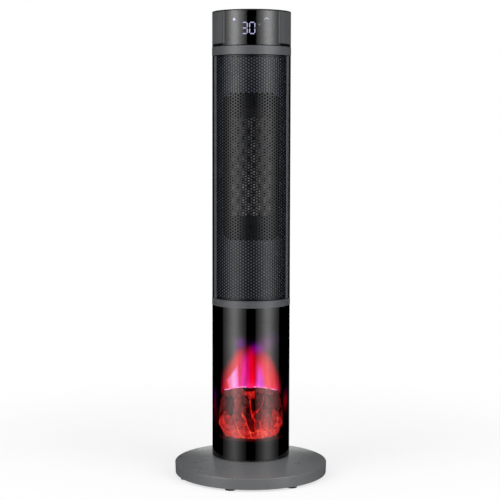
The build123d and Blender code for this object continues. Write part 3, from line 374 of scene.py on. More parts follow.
# %% Dust group
dust, takes, gives = new_group(
    "Dust and handling",
    [("Colour", "Color", (0.1, 0.1, 0.1, 1)), ("Roughness", "Float", 0.5),
     ("Amount", "Float", 0.1)],
    [("Colour", "Color"), ("Roughness", "Float")],
)
facing = add(dust, "ShaderNodeTexCoord").outputs["Normal"]
up = add(dust, "ShaderNodeSeparateXYZ", {0: facing}).outputs[2]
patch = speckle(dust, 45.0, Detail=6.0, Roughness=0.7)
settled = maths(dust, "MULTIPLY", spread_to(dust, up, -0.2, 1.0, 0.35, 1.0),
                spread_to(dust, patch, 0.35, 0.75))
share = maths(dust, "MULTIPLY", settled, takes["Amount"])
feed(gives, Colour=blend(dust, share, takes["Colour"], (0.30, 0.29, 0.28, 1.0)),
     Roughness=maths(dust, "MULTIPLY_ADD", share, 0.6, takes["Roughness"]))
print("group:", dust.name)

# %% [markdown]
# ## Finishes
# Most parts are moulded plastic, which one helper covers: grain and dust feed the colour and the
# roughness, and a fine bump breaks up the highlights. The numbers tell the finishes apart, from
# rubber to satin paint. Metals get the rolled lines instead.

# %% Moulded and metal finishes


def shader(name, **sockets):
    """New material with one Principled BSDF, whose plain sockets are set here."""
    material = bpy.data.materials.new(name)
    tree = bare_tree(material)
    values = {key.replace("_", " "): value for key, value in sockets.items()}
    surface = add(tree, "ShaderNodeBsdfPrincipled", values)
    add(tree, "ShaderNodeOutputMaterial", {"Surface": surface.outputs[0]})
    return material, tree, surface


def placed_group(tree, group, **values):
    """Outputs of a shared effect that is placed in a material with its own values."""
    return add(tree, "ShaderNodeGroup", values, node_tree=group).outputs


def moulded(name, colour, rough, spread=0.08, scale=2600.0, depth=0.02, dusty=0.06, **sockets):
    """Moulded or painted finish with grain, slow clouds and a little dust."""
    material, tree, surface = shader(name, **sockets)
    texture = placed_group(tree, grain, Colour=colour, Spread=spread, Scale=scale, Roughness=rough)
    film = placed_group(tree, dust, Amount=dusty, Colour=texture["Colour"],
                        Roughness=texture["Roughness"])
    bump = add(tree, "ShaderNodeBump", {"Strength": 0.5, "Distance": depth * MM,
                                        "Height": texture["Height"]}).outputs[0]
    feed(surface, Base_Color=film["Colour"], Roughness=film["Roughness"], Normal=bump)
    return material


def metal(name, colour, rough, stretch=(60.0, 60.0, 4000.0), play=0.2, depth=0.01, shine=1.0):
    """Bare metal with the fine lines that rolling leaves."""
    material, tree, surface = shader(name, Metallic=shine)
    texture = placed_group(tree, rolled, Stretch=stretch, Roughness=rough, Play=play)
    darker = tuple(0.72 * value for value in colour[:3]) + (1.0,)
    bump = add(tree, "ShaderNodeBump", {"Strength": 0.4, "Distance": depth * MM,
                                        "Height": texture["Lines"]}).outputs[0]
    feed(surface, Base_Color=blend(tree, texture["Lines"], darker, colour),
         Roughness=texture["Roughness"], Normal=bump)
    return material


# Plastics: colour, roughness, spread of tone, grains to the metre, depth of the grain in
# millimetres and dust. Metals: colour, roughness, how the lines are stretched, play of roughness.
FINISH = {
    "base_grey": moulded("Satin grey base", paint(106, 107, 109), 0.30, 0.03, 2200, 0.003, 0.0),
    "chassis_black": moulded("Chassis black", paint(34, 34, 36), 0.55, 0.10, 1500, 0.04),
    "cast_ballast": moulded("Cast iron", paint(70, 70, 72), 0.72, 0.25, 900, 0.15, 0.2),
    "foot_rubber": moulded("Foot rubber", paint(24, 24, 25), 0.85, 0.12, 1800, 0.03, 0.15),
    "gland_rubber": moulded("Gland rubber", paint(22, 22, 23), 0.8, 0.12, 1800, 0.03),
    "switch_black": moulded("Switch black", paint(20, 20, 21), 0.42, 0.06, 3000, 0.01),
    "bearing_white": moulded("Bearing nylon", paint(222, 220, 210), 0.45, 0.04, 1800, 0.01),
    "zinc_steel": metal("Zinc steel", paint(176, 178, 180), 0.38, (900, 900, 90), 0.2),
    "rear_black": moulded("Rear matt black", paint(33, 34, 36), 0.6, 0.09, 1700, 0.05, 0.1),
    "board_green": moulded("Circuit board", paint(18, 60, 38), 0.4, 0.15, 700, 0.02),
    "foil_bright": metal("Bright paddles", paint(214, 216, 220), 0.14, (60, 4000, 60), 0.1),
    "band_grey": moulded("Band grey", paint(86, 87, 90), 0.28, 0.04, 2200, 0.012, 0.02,
                         Specular_IOR_Level=0.4),
    "housing_grey": moulded("Inner housing grey", paint(92, 97, 108), 0.34, 0.06, 2000, 0.02),
    "filter_nylon": moulded("Filter nylon", paint(58, 59, 61), 0.7, 0.1, 2500, 0.05),
    "duct_steel": metal("Duct steel", paint(150, 152, 154), 0.45, (60, 4000, 60), 0.2),
    "frame_resin": moulded("Heater frame resin", paint(26, 26, 27), 0.6, 0.08, 1500, 0.03),
    "element_aluminium": metal("Element aluminium", paint(150, 150, 152), 0.45, (60, 60, 5000), 0.2,
                               shine=0.6),
    "wheel_black": moulded("Blower wheel black", paint(24, 24, 25), 0.5, 0.06, 2000, 0.02),
    "head_grey": moulded("Head matt grey", paint(72, 74, 76), 0.62, 0.05, 3200, 0.03, 0.04),
    "digit_resin": moulded("Digit block", paint(9, 9, 12), 0.5, 0.05, 2600, 0.01),
}
print("plain finishes:", len(FINISH))

# %% [markdown]
# ## Camera
# The curve of the base's rim against the curve under the collar gives the camera's height, a
# little over half a metre. A long lens at 2.1 m, tipped down by five degrees, draws the same
# ellipses, and a roll of a tenth of a degree gives the slight lean of the photograph.

# %% Camera
CAMERA_PLACE = (-0.00215, -2.115, 0.5405)
CAMERA_PITCH = 0.08714
CAMERA_ROLL = -0.0019
FOCAL_LENGTH = 97.3
lens = bpy.data.cameras.new("Photo camera")
lens.sensor_width = 36.0
lens.lens = FOCAL_LENGTH
camera = bpy.data.objects.new("Photo camera", lens)
camera.location = CAMERA_PLACE
camera.rotation_euler = (pi / 2 - CAMERA_PITCH, CAMERA_ROLL, 0.0)
bpy.context.scene.collection.objects.link(camera)
bpy.context.scene.camera = camera
bpy.context.scene.view_settings.view_transform = "Standard"
print("camera at", [round(value, 3) for value in camera.location], "lens", lens.lens)

# %% [markdown]
# ## Light
# A glossy black tube shows nothing but its surroundings, so a photographer lights it with two tall
# soft boxes that fade at their edges, and hangs black cloth between and beside them. The cards
# here do the same. Their brightness follows the azimuth round the heater and grows with height,
# which draws the two soft bands down the tube. They run on below the floor's level, because the
# tube's foot mirrors what is low down, and so the bands reach it in one piece.

# %% Soft boxes and black cloths
CARD_R = 2000.0
CARD_LOW, CARD_TOP = -1000.0, 2200.0
CARD_ROWS = 8
# Azimuths where the front cloth gives way to a soft box, that to the side cloth, and its end
FRONT_EDGE, SIDE_EDGE, REAR_EDGE = 12.6, 93, 172
BOX_STRENGTH = 4.6
# Azimuth in degrees and brightness of the soft boxes
GLOW = ((FRONT_EDGE, 0.0), (14.2, 0.10), (21, 0.21), (27, 0.36), (33.5, 0.54), (40, 0.81),
        (46, 0.99), (52, 1.0), (59, 0.84), (66, 0.60), (73, 0.38), (81, 0.21), (89, 0.11), (92, 0.0))
# Share of the way from 0.4 m below the floor to 2.2 m above it, and brightness there
CLIMB = ((0.0, 0.26), (0.05, 0.33), (0.17, 0.62), (0.50, 1.0), (1.0, 0.8))


def card(name, start, end, material):
    """Part of an upright cylinder round the heater, from one azimuth to another."""
    steps = max(2, ceil((end - start) / 3))
    points = [on_tower(CARD_R, start + (end - start) * step / steps,
                       CARD_LOW + (CARD_TOP - CARD_LOW) * row / CARD_ROWS)
              for row in range(CARD_ROWS + 1) for step in range(steps + 1)]
    made = placed(name, points, grid_faces(steps, CARD_ROWS), material)
    made.visible_camera = False
    made.visible_shadow = False
    return made


glow = bpy.data.materials.new("Soft box glow")
tree = bare_tree(glow)
x, y, z = object_axes(tree)
shape = stops(tree, maths(tree, "DIVIDE", from_front(x, y), pi),
              [(place / 180, grey(value)) for place, value in GLOW])
climb = stops(tree, spread_to(tree, z, -0.4, 2.2, smooth=False),
              [(place, grey(value)) for place, value in CLIMB])
light = add(tree, "ShaderNodeEmission", {"Color": blend(tree, 1.0, shape, climb, "MULTIPLY"),
                                         "Strength": BOX_STRENGTH})
add(tree, "ShaderNodeOutputMaterial", {"Surface": light.outputs[0]})
black = moulded("Black cloth", grey(0.0), 1.0, 0.0, 50, 0.0, 0.0, Specular_IOR_Level=0.0)
cloths = [card("front_cloth", -FRONT_EDGE, FRONT_EDGE, black)]
for side, side_name in SIDES:
    card("soft_box_" + side_name, *sorted((side * FRONT_EDGE, side * SIDE_EDGE)), glow)
    cloths.append(card("side_cloth_" + side_name, *sorted((side * SIDE_EDGE, side * REAR_EDGE)), black))
for cloth in cloths:
    cloth.visible_diffuse = False
print("soft boxes:", len(SIDES), "cloths:", len(cloths))

# %% [markdown]
# The world is plain white where the camera, a mirror ray or a ray through glass looks at it, and
# softer as a lamp, so that a colour comes out about as it is written.

# %% World
FILL = 0.42
world = bpy.data.worlds.new("Studio")
bpy.context.scene.world = world
tree = bare_tree(world)


def seen_directly(tree):
    """1 for camera, mirror and transmitted rays, 0 for the rest."""
    path = add(tree, "ShaderNodeLightPath").outputs
    either = maths(tree, "MAXIMUM", path["Is Camera Ray"], path["Is Glossy Ray"])
    return maths(tree, "MAXIMUM", either, path["Is Transmission Ray"])


strength = maths(tree, "MULTIPLY_ADD", seen_directly(tree), 1.0 - FILL, FILL)
sky = add(tree, "ShaderNodeBackground", {"Color": grey(1.0), "Strength": strength})
add(tree, "ShaderNodeOutputWorld", {"Surface": sky.outputs[0]})
print("world fill:", FILL)

# %% [markdown]
# The floor is a pale sheet. Round the heater part of its white is paint that takes the soft
# shadow, and part is a glow that only direct rays see. Further off the glow takes over, so that
# the sheet runs into the white of the world without a horizon.

# %% Floor
FLOOR_HALF = 40000.0
PAPER_TONE = 0.42
PAPER_LIGHT = 0.36
material = bpy.data.materials.new("Pale floor")
tree = bare_tree(material)
reach = add(tree, "ShaderNodeVectorMath", {0: object_place(tree)},
            operation="LENGTH").outputs["Value"]
fade = spread_to(tree, reach, 0.25, 0.9, 1.0, 0.0)
matt = add(tree, "ShaderNodeBsdfDiffuse", {"Color": blend(tree, fade, grey(0.0), grey(PAPER_TONE))})
white = maths(tree, "MULTIPLY_ADD", fade, -PAPER_LIGHT, 1.0)
lift = add(tree, "ShaderNodeEmission",
           {"Color": grey(1.0), "Strength": maths(tree, "MULTIPLY", seen_directly(tree), white)})
both = add(tree, "ShaderNodeAddShader", {0: matt.outputs[0], 1: lift.outputs[0]})
add(tree, "ShaderNodeOutputMaterial", {"Surface": both.outputs[0]})
corners = [(-FLOOR_HALF, -FLOOR_HALF, 0), (FLOOR_HALF, -FLOOR_HALF, 0),
           (FLOOR_HALF, FLOOR_HALF, 0), (-FLOOR_HALF, FLOOR_HALF, 0)]
paper = placed("floor", corners, [(0, 1, 2, 3)], material)
paper.visible_glossy = False
paper.visible_transmission = False
print("floor size:", 2 * FLOOR_HALF * MM, "m")

# %% [markdown]
# ## Base
# The base is a heavy round shell: an upright rim, a crisp edge and a crown that rises to the tube
# in one faint swell. A turned outline is the natural way to make it. The outer line has the small
# radii that the CAD cover leaves out, and the inner line follows the cover's well, boss and wall,
# so that it still holds the swing drive.

# %% Base shell
low, high = box_of("base_cover")
BASE_R = high.x
NECK_TOP = high.z
RIM_TOP = NECK_TOP - 11.0
WELL_FLOOR = NECK_TOP - 13.0
BOSS_TOP = WELL_FLOOR + 10.0
NECK_R, WELL_R = 62.0, 46.0
BOSS_R, BOSS_BORE = 19.5, 16.3
WALL = 2.5
SWELL = 0.7
CROWN_STEPS = 12
TURN_STEPS = 240
crown = []
for step in range(1, CROWN_STEPS):
    share = step / CROWN_STEPS
    swell = 4 * SWELL * share * (1 - share)
    crown.append((BASE_R + (NECK_R - BASE_R) * share,
                  RIM_TOP + (NECK_TOP - RIM_TOP) * share + swell, 0))
# Corners of the outline: radius, height and the small radius that rounds them
profile = rounded([
    (BASE_R - WALL, low.z, 0.4), (BASE_R - 0.6, low.z, 1.4), (BASE_R, RIM_TOP, 1.3), *crown,
    (NECK_R, NECK_TOP, 0.8), (WELL_R, NECK_TOP, 0.8), (WELL_R, WELL_FLOOR, 0),
    (BOSS_R, WELL_FLOOR, 0), (BOSS_R, BOSS_TOP, 0.4), (BOSS_BORE, BOSS_TOP, 0.4),
    (BOSS_BORE, WELL_FLOOR - WALL, 0), (WELL_R + WALL, WELL_FLOOR - WALL, 0),
    (WELL_R + WALL, NECK_TOP - WALL, 0), (NECK_R, NECK_TOP - WALL, 0),
    (BASE_R - WALL, RIM_TOP - 3.5, 0)])
cover = piece("base_shell", *turned(profile, TURN_STEPS), "base", FINISH["base_grey"],
              ["base_cover"], 30)
print("base shell faces:", len(cover.data.polygons))

# %% [markdown]
# The mains lead enters low in the back wall, through a rubber gland. The hole for it is cut out of
# the finished shell with a round bar, which is simpler than building the wall round a hole.

# %% Gland hole in the base
GLAND_HOLE_R = 6.4
GLAND_Z = 11.5


def cut(target, points, faces):
    """Take a closed shape out of a piece, with the exact Boolean solver."""
    cutter = placed("cutter", points, faces)
    shape = bmesh.new()
    shape.from_mesh(cutter.data)
    bmesh.ops.recalc_face_normals(shape, faces=shape.faces)
    shape.to_mesh(cutter.data)
    shape.free()
    change = target.modifiers.new("cut", "BOOLEAN")
    change.operation = "DIFFERENCE"
    change.solver = "EXACT"
    change.object = cutter
    state = bpy.context.evaluated_depsgraph_get()
    fresh = bpy.data.meshes.new_from_object(target.evaluated_get(state))
    old = target.data
    target.modifiers.remove(change)
    target.data = fresh
    fresh.name = old.name
    bpy.data.meshes.remove(old)
    bpy.data.meshes.remove(cutter.data)


def round_bar(radius, start, end, steps=32):
    """Closed round bar between two points."""
    turn = (Vector(end) - Vector(start)).to_track_quat("Z", "Y")
    angles = [2 * pi * k / steps for k in range(steps)]
    rim = [turn @ Vector((radius * cos(angle), radius * sin(angle), 0)) for angle in angles]
    points = [tuple(Vector(middle) + point) for middle in (start, end) for point in rim]
    faces = [tuple(reversed(range(steps))), tuple(range(steps, 2 * steps))]
    faces += [(k, (k + 1) % steps, steps + (k + 1) % steps, steps + k) for k in range(steps)]
    return points, faces


cut(cover, *round_bar(GLAND_HOLE_R, (0, BASE_R - 8, GLAND_Z), (0, BASE_R + 2, GLAND_Z)))
print("base shell after the gland hole:", len(cover.data.polygons))

# %% [markdown]
# ## Grille
# The front of the tower is a thin steel sheet full of small round holes in a honeycomb order. Real
# holes matter here: they show the grey housing close behind, and the heater through the window.
# Each hole gets a six-sided cell of the sheet, and a wall through its thickness. The cells share
# their corners, so the whole sheet is one closed skin.

# %% Perforated sheet
PITCH = 4.8
HOLE_R = 1.5
SEAM = 1.2
SHEET = 0.6
INNER_R = TOWER_R - SHEET
COLUMNS = 31
ROWS = 77
low, high = box_of("front_grille")
GRILLE_LOW, GRILLE_TOP = low.z + SEAM, high.z - SEAM
column_step = degrees(PITCH * sqrt(3) / 2 / TOWER_R)
first_z = (GRILLE_LOW + GRILLE_TOP) / 2 - (ROWS - 1) / 2 * PITCH + PITCH / 4


def grille_cells(radius):
    """Flat-topped honeycomb corners and hole rims of every cell on one face of the sheet."""
    cells = []
    corner_r = PITCH / sqrt(3)
    shrink = radius / TOWER_R
    for column in range(COLUMNS):
        u = (column - (COLUMNS - 1) / 2) * column_step
        for row in range(ROWS):
            z = first_z + row * PITCH - (PITCH / 2 if column % 2 else 0)
            corners = [(u + degrees(corner_r * cos(pi / 3 * k) / TOWER_R),
                        z + corner_r * sin(pi / 3 * k)) for k in range(6)]
            rim = [(u + degrees(HOLE_R * cos(pi / 6 * k) / TOWER_R / shrink),
                    z + HOLE_R * sin(pi / 6 * k)) for k in range(12)]
            cells.append((corners, rim))
    return cells


def sheet_face(radius, outward):
    """All cells of one face, as points and faces; the rims come last in each cell."""
    points = []
    faces = []
    for corners, rim in grille_cells(radius):
        start = len(points)
        points += [on_tower(radius, u, z) for u, z in corners + rim]
        for k in range(6):
            loop = (start + k, start + (k + 1) % 6,
                    start + 6 + (2 * k + 2) % 12, start + 7 + 2 * k, start + 6 + 2 * k)
            faces.append(loop if outward else tuple(reversed(loop)))
    return points, faces


skin_points, skin_faces = joined([sheet_face(TOWER_R, True), sheet_face(INNER_R, False)])
back = len(skin_points) // 2
for cell in range(COLUMNS * ROWS):
    base = cell * 18 + 6
    for k in range(12):
        here, after = base + k, base + (k + 1) % 12
        skin_faces.append((here, after, back + after, back + here))
print("holes:", COLUMNS * ROWS, "faces:", len(skin_faces))

# %% [markdown]
# The honeycomb ends in a zigzag on all four sides. Strips of plain steel fill the space between
# that zigzag and the sheet's straight outline, on both of its faces, and narrow ones close the
# sheet's edges. Where a strip shares points with its neighbour, the two are merged.

# %% Plain margins of the sheet
GRILLE_HALF = 95.0
MARGIN_STEPS = 12
EDGE_STEPS = 64
top_z = first_z + (ROWS - 1) * PITCH + PITCH / 2
low_z = first_z - PITCH
edge_u = (COLUMNS - 1) / 2 * column_step
corner_u = degrees(PITCH / sqrt(3) / TOWER_R)


def margin_faces(radius):
    """Strips between the honeycomb's zigzag edge and the sheet's straight outline."""
    parts = []

    def strip(near, far):
        parts.append(([on_tower(radius, u, z) for u, z in near + far], grid_faces(len(near) - 1)))

    upper = []
    lower = []
    for column in range(COLUMNS):
        u = (column - (COLUMNS - 1) / 2) * column_step
        down = PITCH / 2 if column % 2 else 0
        for end_u in (u - corner_u / 2, u + corner_u / 2):
            upper.append((end_u, top_z - down))
            lower.append((end_u, low_z + PITCH / 2 - down))
    strip(upper, [(u, GRILLE_TOP) for u, _ in upper])
    strip(lower, [(u, GRILLE_LOW) for u, _ in lower])
    for side, _ in SIDES:
        dent, tip = side * (edge_u + corner_u / 2), side * (edge_u + corner_u)
        zigzag = [(dent, GRILLE_LOW)]
        for row in range(ROWS):
            z = first_z + row * PITCH
            zigzag += [(dent, z - PITCH / 2), (tip, z)]
        zigzag += [(dent, top_z), (dent, GRILLE_TOP)]
        strip(zigzag, [(tip, z) for _, z in zigzag])
        rest = side * GRILLE_HALF - tip
        for step in range(MARGIN_STEPS):
            here, after = (tip + rest * k / MARGIN_STEPS for k in (step, step + 1))
            strip([(here, GRILLE_LOW), (here, GRILLE_TOP)], [(after, GRILLE_LOW), (after, GRILLE_TOP)])
    return joined(parts)


turns = [GRILLE_HALF * (2 * k / EDGE_STEPS - 1) for k in range(EDGE_STEPS + 1)]
edges = []
for z in (GRILLE_LOW, GRILLE_TOP):
    points = [on_tower(radius, u, z) for radius in (TOWER_R, INNER_R) for u in turns]
    edges.append((points, grid_faces(EDGE_STEPS)))
for side, _ in SIDES:
    points = [on_tower(radius, side * GRILLE_HALF, z) for z in (GRILLE_LOW, GRILLE_TOP)
              for radius in (TOWER_R, INNER_R)]
    edges.append((points, grid_faces(1)))
FINISH["grille_steel"] = moulded("Grille black", paint(20, 21, 25), 0.20, 0.06, 2400, 0.01, 0.02,
                                 Specular_IOR_Level=0.28)
sheet = joined([(skin_points, skin_faces), margin_faces(TOWER_R), margin_faces(INNER_R), *edges])
grille = piece("perforated_grille", *sheet, "tower", FINISH["grille_steel"], ["front_grille"], 30)
print("grille faces:", len(grille.data.polygons))

# %% [markdown]
# ## Seals and rails
# Felt, in a thin black strip, fills the gap between the sheet and the front housing at both ends;
# its near-black also stands for the shade in that gap, as painted shade. A slim grey rail covers
# each upright edge of the sheet, where it is screwed down; its grey, lighter than the sheet, also
# draws the light lines along the sheet's edges, as a painted highlight. Both are bent strips, made
# from the same turns and heights as the sheet, so that they always meet it.

# %% Felt seals and side rails
SEAL_H = 4.0
SEAL_GAPS = (0.9, 0.45)
# Section of a rail: azimuth, and how far it stands proud of the sheet there
RAIL = ((61.8, 0.0), (62.4, 0.28), (70.0, 0.28), (70.6, 0.0))
RAIL_SINK = 0.2
# painted shade: this near-black seal strip is a real seal, and its black also stands for the shade in
# the gaps where it sits
felt_and_gap_shade = moulded("Felt seal", paint(4, 4, 5), 0.95, 0.15, 1800, 0.05, 0.0, Specular_IOR_Level=0.1)
# painted highlight: the rails are lighter grey than the sheet, so they also draw the light lines along
# its upright edges
rail_grey_and_highlight = moulded("Side rail grey", paint(80, 81, 85), 0.45, 0.05, 2200, 0.01)
for name, start, end in (("seal_low", low.z, low.z + SEAL_H), ("seal_top", high.z - SEAL_H, high.z)):
    parts = []
    for gap in SEAL_GAPS:
        points = [on_tower(TOWER_R - gap, u, z) for z in (start, end) for u in turns]
        parts.append((points, grid_faces(EDGE_STEPS)))
    piece(name, *joined(parts), "tower", felt_and_gap_shade)
for side, side_name in SIDES:
    section = [(side * u, TOWER_R + rise) for u, rise in RAIL]
    rail = strap(section, (GRILLE_LOW, GRILLE_TOP), TOWER_R - RAIL_SINK, capped=True)
    piece("side_rail_" + side_name, *rail, "tower", rail_grey_and_highlight)
print("seals: 2, rails: 2")

# %% [markdown]
# ## Heating element
# Behind the window stand ceramic bars with corrugated aluminium foil pressed between them. The
# folds are about 2 mm apart, far finer than the CAD solid, so each bank is a zigzag strip here,
# a folded line pushed through the element's depth.

# %% Corrugated fins
low, high = box_of("ptc_bars")
BANKS = 4
BANK_W = 11.4
BAR_W, END_BAR_W = 5.0, 1.5
FOLDS = 76
FOIL = 0.34
# How far each fold stays off its bar, and how far it is rounded sideways and in height
FOLD_GAP, ROUND_X, ROUND_Z = 0.1, 0.35, 0.28
parts = []
for bank in range(BANKS):
    bank_x = low.x + END_BAR_W + bank * (BANK_W + BAR_W)
    line = []
    for fold in range(FOLDS + 1):
        z = low.z + fold * (high.z - low.z) / FOLDS
        x, turn = (bank_x + BANK_W - FOLD_GAP, -1) if fold % 2 else (bank_x + FOLD_GAP, 1)
        line += [(x + turn * ROUND_X, z - ROUND_Z), (x, z), (x + turn * ROUND_X, z + ROUND_Z)]
    points = [(x, y, z + lift) for x, z in line for y in (low.y, high.y)
              for lift in (-FOIL / 2, FOIL / 2)]
    parts.append((points, bar_faces(len(line))))
foil = metal("Fin foil", paint(130, 131, 134), 0.55, (60, 60, 5000), 0.2, shine=0.4)
surface = foil.node_tree.nodes["Principled BSDF"]
# painted highlight: the foil glows faintly all over and brightly at scattered spots, which stand for
# light and glints caught on its folds
surface.inputs["Emission Strength"].default_value = 0.34
spots = speckle(foil.node_tree, 420.0, Detail=3.0)
feed(surface, Emission_Color=stops(foil.node_tree, spots, [
    (0.40, grey(0.16)), (0.54, (0.34, 0.33, 0.32, 1)), (0.72, (1.0, 0.98, 0.95, 1))]))
fins = piece("corrugated_fins", *joined(parts), "tower", foil, ["ptc_fins"], 50)
print("fin faces:", len(fins.data.polygons))

# %% [markdown]
# Under the element a black plate hangs from the duct's floor and hides the space behind the
# window: painted shade, a dark sheet where that space lies in shade. It is one thin folded plate,
# so a box of eight points is all that it needs.

# %% Black plate of painted shade under the duct
floor_z = box_of("duct_floor")[0].z
SHADE_PLATE_HALF, SHADE_PLATE_H = 40.0, 20.0
SHADE_PLATE_FRONT, SHADE_PLATE_BACK = -27.2, -26.4
points = [(x, y, z) for x in (-SHADE_PLATE_HALF, SHADE_PLATE_HALF) for y in (SHADE_PLATE_FRONT, SHADE_PLATE_BACK)
          for z in (floor_z - SHADE_PLATE_H, floor_z)]
# painted shade: this black plate stands for the shade behind the window's lower part
piece("duct_shade_plate", points, BOX_FACES, "tower", FINISH["frame_resin"])
print("shade_plate from", floor_z - SHADE_PLATE_H, "to", floor_z, "mm")

# %% [markdown]
# ## Flames
# The flames are a moving picture of light on a translucent screen behind the coals. A film in
# front of the screen carries it: a fine grid of points whose colour is worked out from a handful
# of flame tongues. Each tongue has a foot, a leaning tip, a width and two colours, and the tongues
# are added up as light is.

# %% Tongues, lamp and puffs of the flames
# Each tongue: foot and tip as (x, z), half width at foot and tip, how late it narrows, width of
# its soft sides, how far down from the tip it fades, and the colours at foot and tip
TONGUES = (
    ((0.0, 112), (0.0, 208), 45.0, 10.0, 2.5, 10.0, 36.0, (0.80, 0.0, 0.012), (0.46, 0.0, 0.01)),
    ((-20.0, 112), (-17.0, 206), 9.0, 4.5, 1.6, 9.0, 20.0, (0.05, 0.0, 0.01), (0.42, 0.0, 0.015)),
    ((-13.0, 112), (-8.5, 200), 9.0, 3.0, 1.2, 9.0, 24.0, (0.0, 0.02, 0.34), (0.10, 0.0, 0.22)),
    ((2.0, 112), (-1.0, 207), 7.0, 3.0, 1.2, 6.0, 22.0, (0.20, 0.0, 0.0), (0.40, 0.0, 0.0)),
    ((16.5, 112), (13.0, 186), 7.0, 2.0, 1.2, 7.0, 34.0, (0.10, 0.12, 1.00), (0.0, 0.0, 0.30)),
    ((27.0, 112), (20.0, 204), 12.0, 4.5, 1.4, 11.0, 28.0, (0.12, 0.02, 0.02), (0.30, 0.0, 0.005)),
)
# Bright kite of the lamp itself, seen through the film: corners in x and z
KITE = ((-37.5, 148.5), (-22.0, 169.0), (-19.5, 133.0), (-33.5, 131.0))
# Faint cold puffs over the tips and dark red ones beside them: centre, half sizes, colour
PUFFS = (
    (-17.5, 207, 9, 11, (0.13, 0.0, 0.18)),
    (11.0, 198, 11, 10, (0.14, 0.0, 0.23)),
    (24.0, 207, 12, 13, (0.09, 0.0, 0.07)),
    (33.0, 217, 10, 12, (0.02, 0.0, 0.05)),
    (8.0, 134, 32, 9, (0.20, 0.03, 0.16)),
    (-46.0, 136, 8, 20, (0.08, 0.0, 0.01)),
    (46.0, 136, 7, 18, (0.06, 0.0, 0.01)),
)
FILM_GAIN = 3.4
# Height and width beyond which the film's lower corners stay dark
HEM_Z, HEM_X = 121, 38


def clamp(value):
    """Value held between 0 and 1."""
    return max(0.0, min(1.0, value))


def soft_step(value):
    """0 to 1 with soft ends."""
    value = clamp(value)
    return value * value * (3 - 2 * value)


def fall(value, start, width):
    """1 up to start, falling softly to 0 over the width."""
    return 1 - soft_step((value - start) / width)


print("tongues:", len(TONGUES), "puffs:", len(PUFFS))

# %% Light at a point of the film


def tongue_light(x, z, tongue):
    """Light of one tongue at a point of the film."""
    (foot_x, foot_z), (tip_x, tip_z), wide, slim, taper, soft, top, warm, cool = tongue
    if z >= tip_z:
        return (0.0, 0.0, 0.0)
    rise = max(0.0, (z - foot_z) / (tip_z - foot_z))
    flutter = 1.5 * noise.noise(Vector((foot_x, 1.0, z / 14.0))) * rise
    middle = foot_x + (tip_x - foot_x) * rise + flutter
    width = slim + (wide - slim) * (1 - rise ** taper)
    side = soft_step(0.5 + (width - abs(x - middle)) / (soft * (1 + rise)))
    dim = soft_step((tip_z - z) / top)
    return tuple(side * dim * (w + (c - w) * rise) for w, c in zip(warm, cool))


def kite_light(x, z):
    """Soft-edged light of the kite, pinkish on its left and lilac on its right."""
    inside = 1.0
    for (x0, z0), (x1, z1) in zip(KITE, KITE[1:] + KITE[:1]):
        depth = ((z1 - z0) * (x - x0) - (x1 - x0) * (z - z0)) / hypot(x1 - x0, z1 - z0)
        inside = min(inside, soft_step(0.5 + depth / 5.0))
    lilac = soft_step((x + 35) / 13)
    core = exp(-((x + 27.5) / 4.0) ** 2)
    colour = (0.25, 0.15 + 0.20 * core, 0.34 + 0.20 * lilac + 0.26 * core)
    return tuple(inside * value for value in colour)


def spot_light(a, b, spot, tightness):
    """Round soft glow: its centre, half sizes and colour."""
    middle_a, middle_b, half_a, half_b, colour = spot
    far = ((a - middle_a) / half_a) ** 2 + ((b - middle_b) / half_b) ** 2
    return tuple(exp(-tightness * far) * value for value in colour)


def film_light(x, z):
    """All lights of the film added up, with a slow ripple and dark lower corners."""
    ripple = FILM_GAIN * (1.0 + 0.35 * noise.noise(Vector((x / 5.0, 3.0, z / 30.0))))
    lights = [tongue_light(x, z, tongue) for tongue in TONGUES] + [kite_light(x, z)]
    lights += [spot_light(x, z, puff, 1.6) for puff in PUFFS]
    hem = 1 - fall(z, HEM_Z, 12) * soft_step((abs(x) - HEM_X) / 4)
    return [ripple * hem * sum(values) for values in zip(*lights)]


print("light at the lamp:", [round(value, 2) for value in film_light(-27.5, 150)])

# %% Flame film
low, high = box_of("flame_screen")
FILM_HALF = high.x - 0.5
FILM_LOW, FILM_TOP = low.z + 34, high.z - 6
FILM_COLUMNS, FILM_ROWS = 120, 190
points = [(FILM_HALF * (2 * column / FILM_COLUMNS - 1), low.y - 0.3,
           FILM_LOW + (FILM_TOP - FILM_LOW) * row / FILM_ROWS)
          for row in range(FILM_ROWS + 1) for column in range(FILM_COLUMNS + 1)]
material, tree, surface = shader("Flame picture", Base_Color=(0.01, 0.008, 0.01, 1.0), Roughness=0.5,
                                 Emission_Strength=1.0, Specular_IOR_Level=0.0)
light = add(tree, "ShaderNodeAttribute", attribute_name="flame_light").outputs["Color"]
feed(surface, Emission_Color=light)
film = piece("flame_film", points, grid_faces(FILM_COLUMNS, FILM_ROWS), "tower", material)
store(film, "flame_light", [film_light(x, z) for x, _, z in points])
FINISH["screen_film"] = moulded("Screen film", paint(16, 15, 16), 0.5, 0.05, 1500, 0.01)
print("flame film points:", len(points))

# %% [markdown]
# ## Coals
# The coal bed is a hollow translucent moulding: long charred lumps, with red light in the cracks
# between them and the strongest glow at the foot, where the lamps are. It is a relief wrapped
# round the front of the tray. Every lump claims the ground that is nearest to it, measured with
# its own width, length and tilt, and where two claims meet there is a crack, and the crack glows.

# %% Heap, lumps and bright cracks
# Share of the height and radius of the heap without its lumps
HEAP = ((0.0, 39.5), (0.12, 44.0), (0.30, 49.5), (0.50, 48.0), (0.75, 46.0), (1.0, 43.5))
# Radius at which places along the heap are measured, and how wide the dip at a crack is
COAL_R = 52.0
CRACK_W = 2.2
# The noise that bends the outlines of the lumps starts at a place that its seed picks. Without a
# seed the clock picks it, and every run would draw the lumps a little otherwise.
COAL_SEED = 1795601912
noise.seed_set(COAL_SEED)
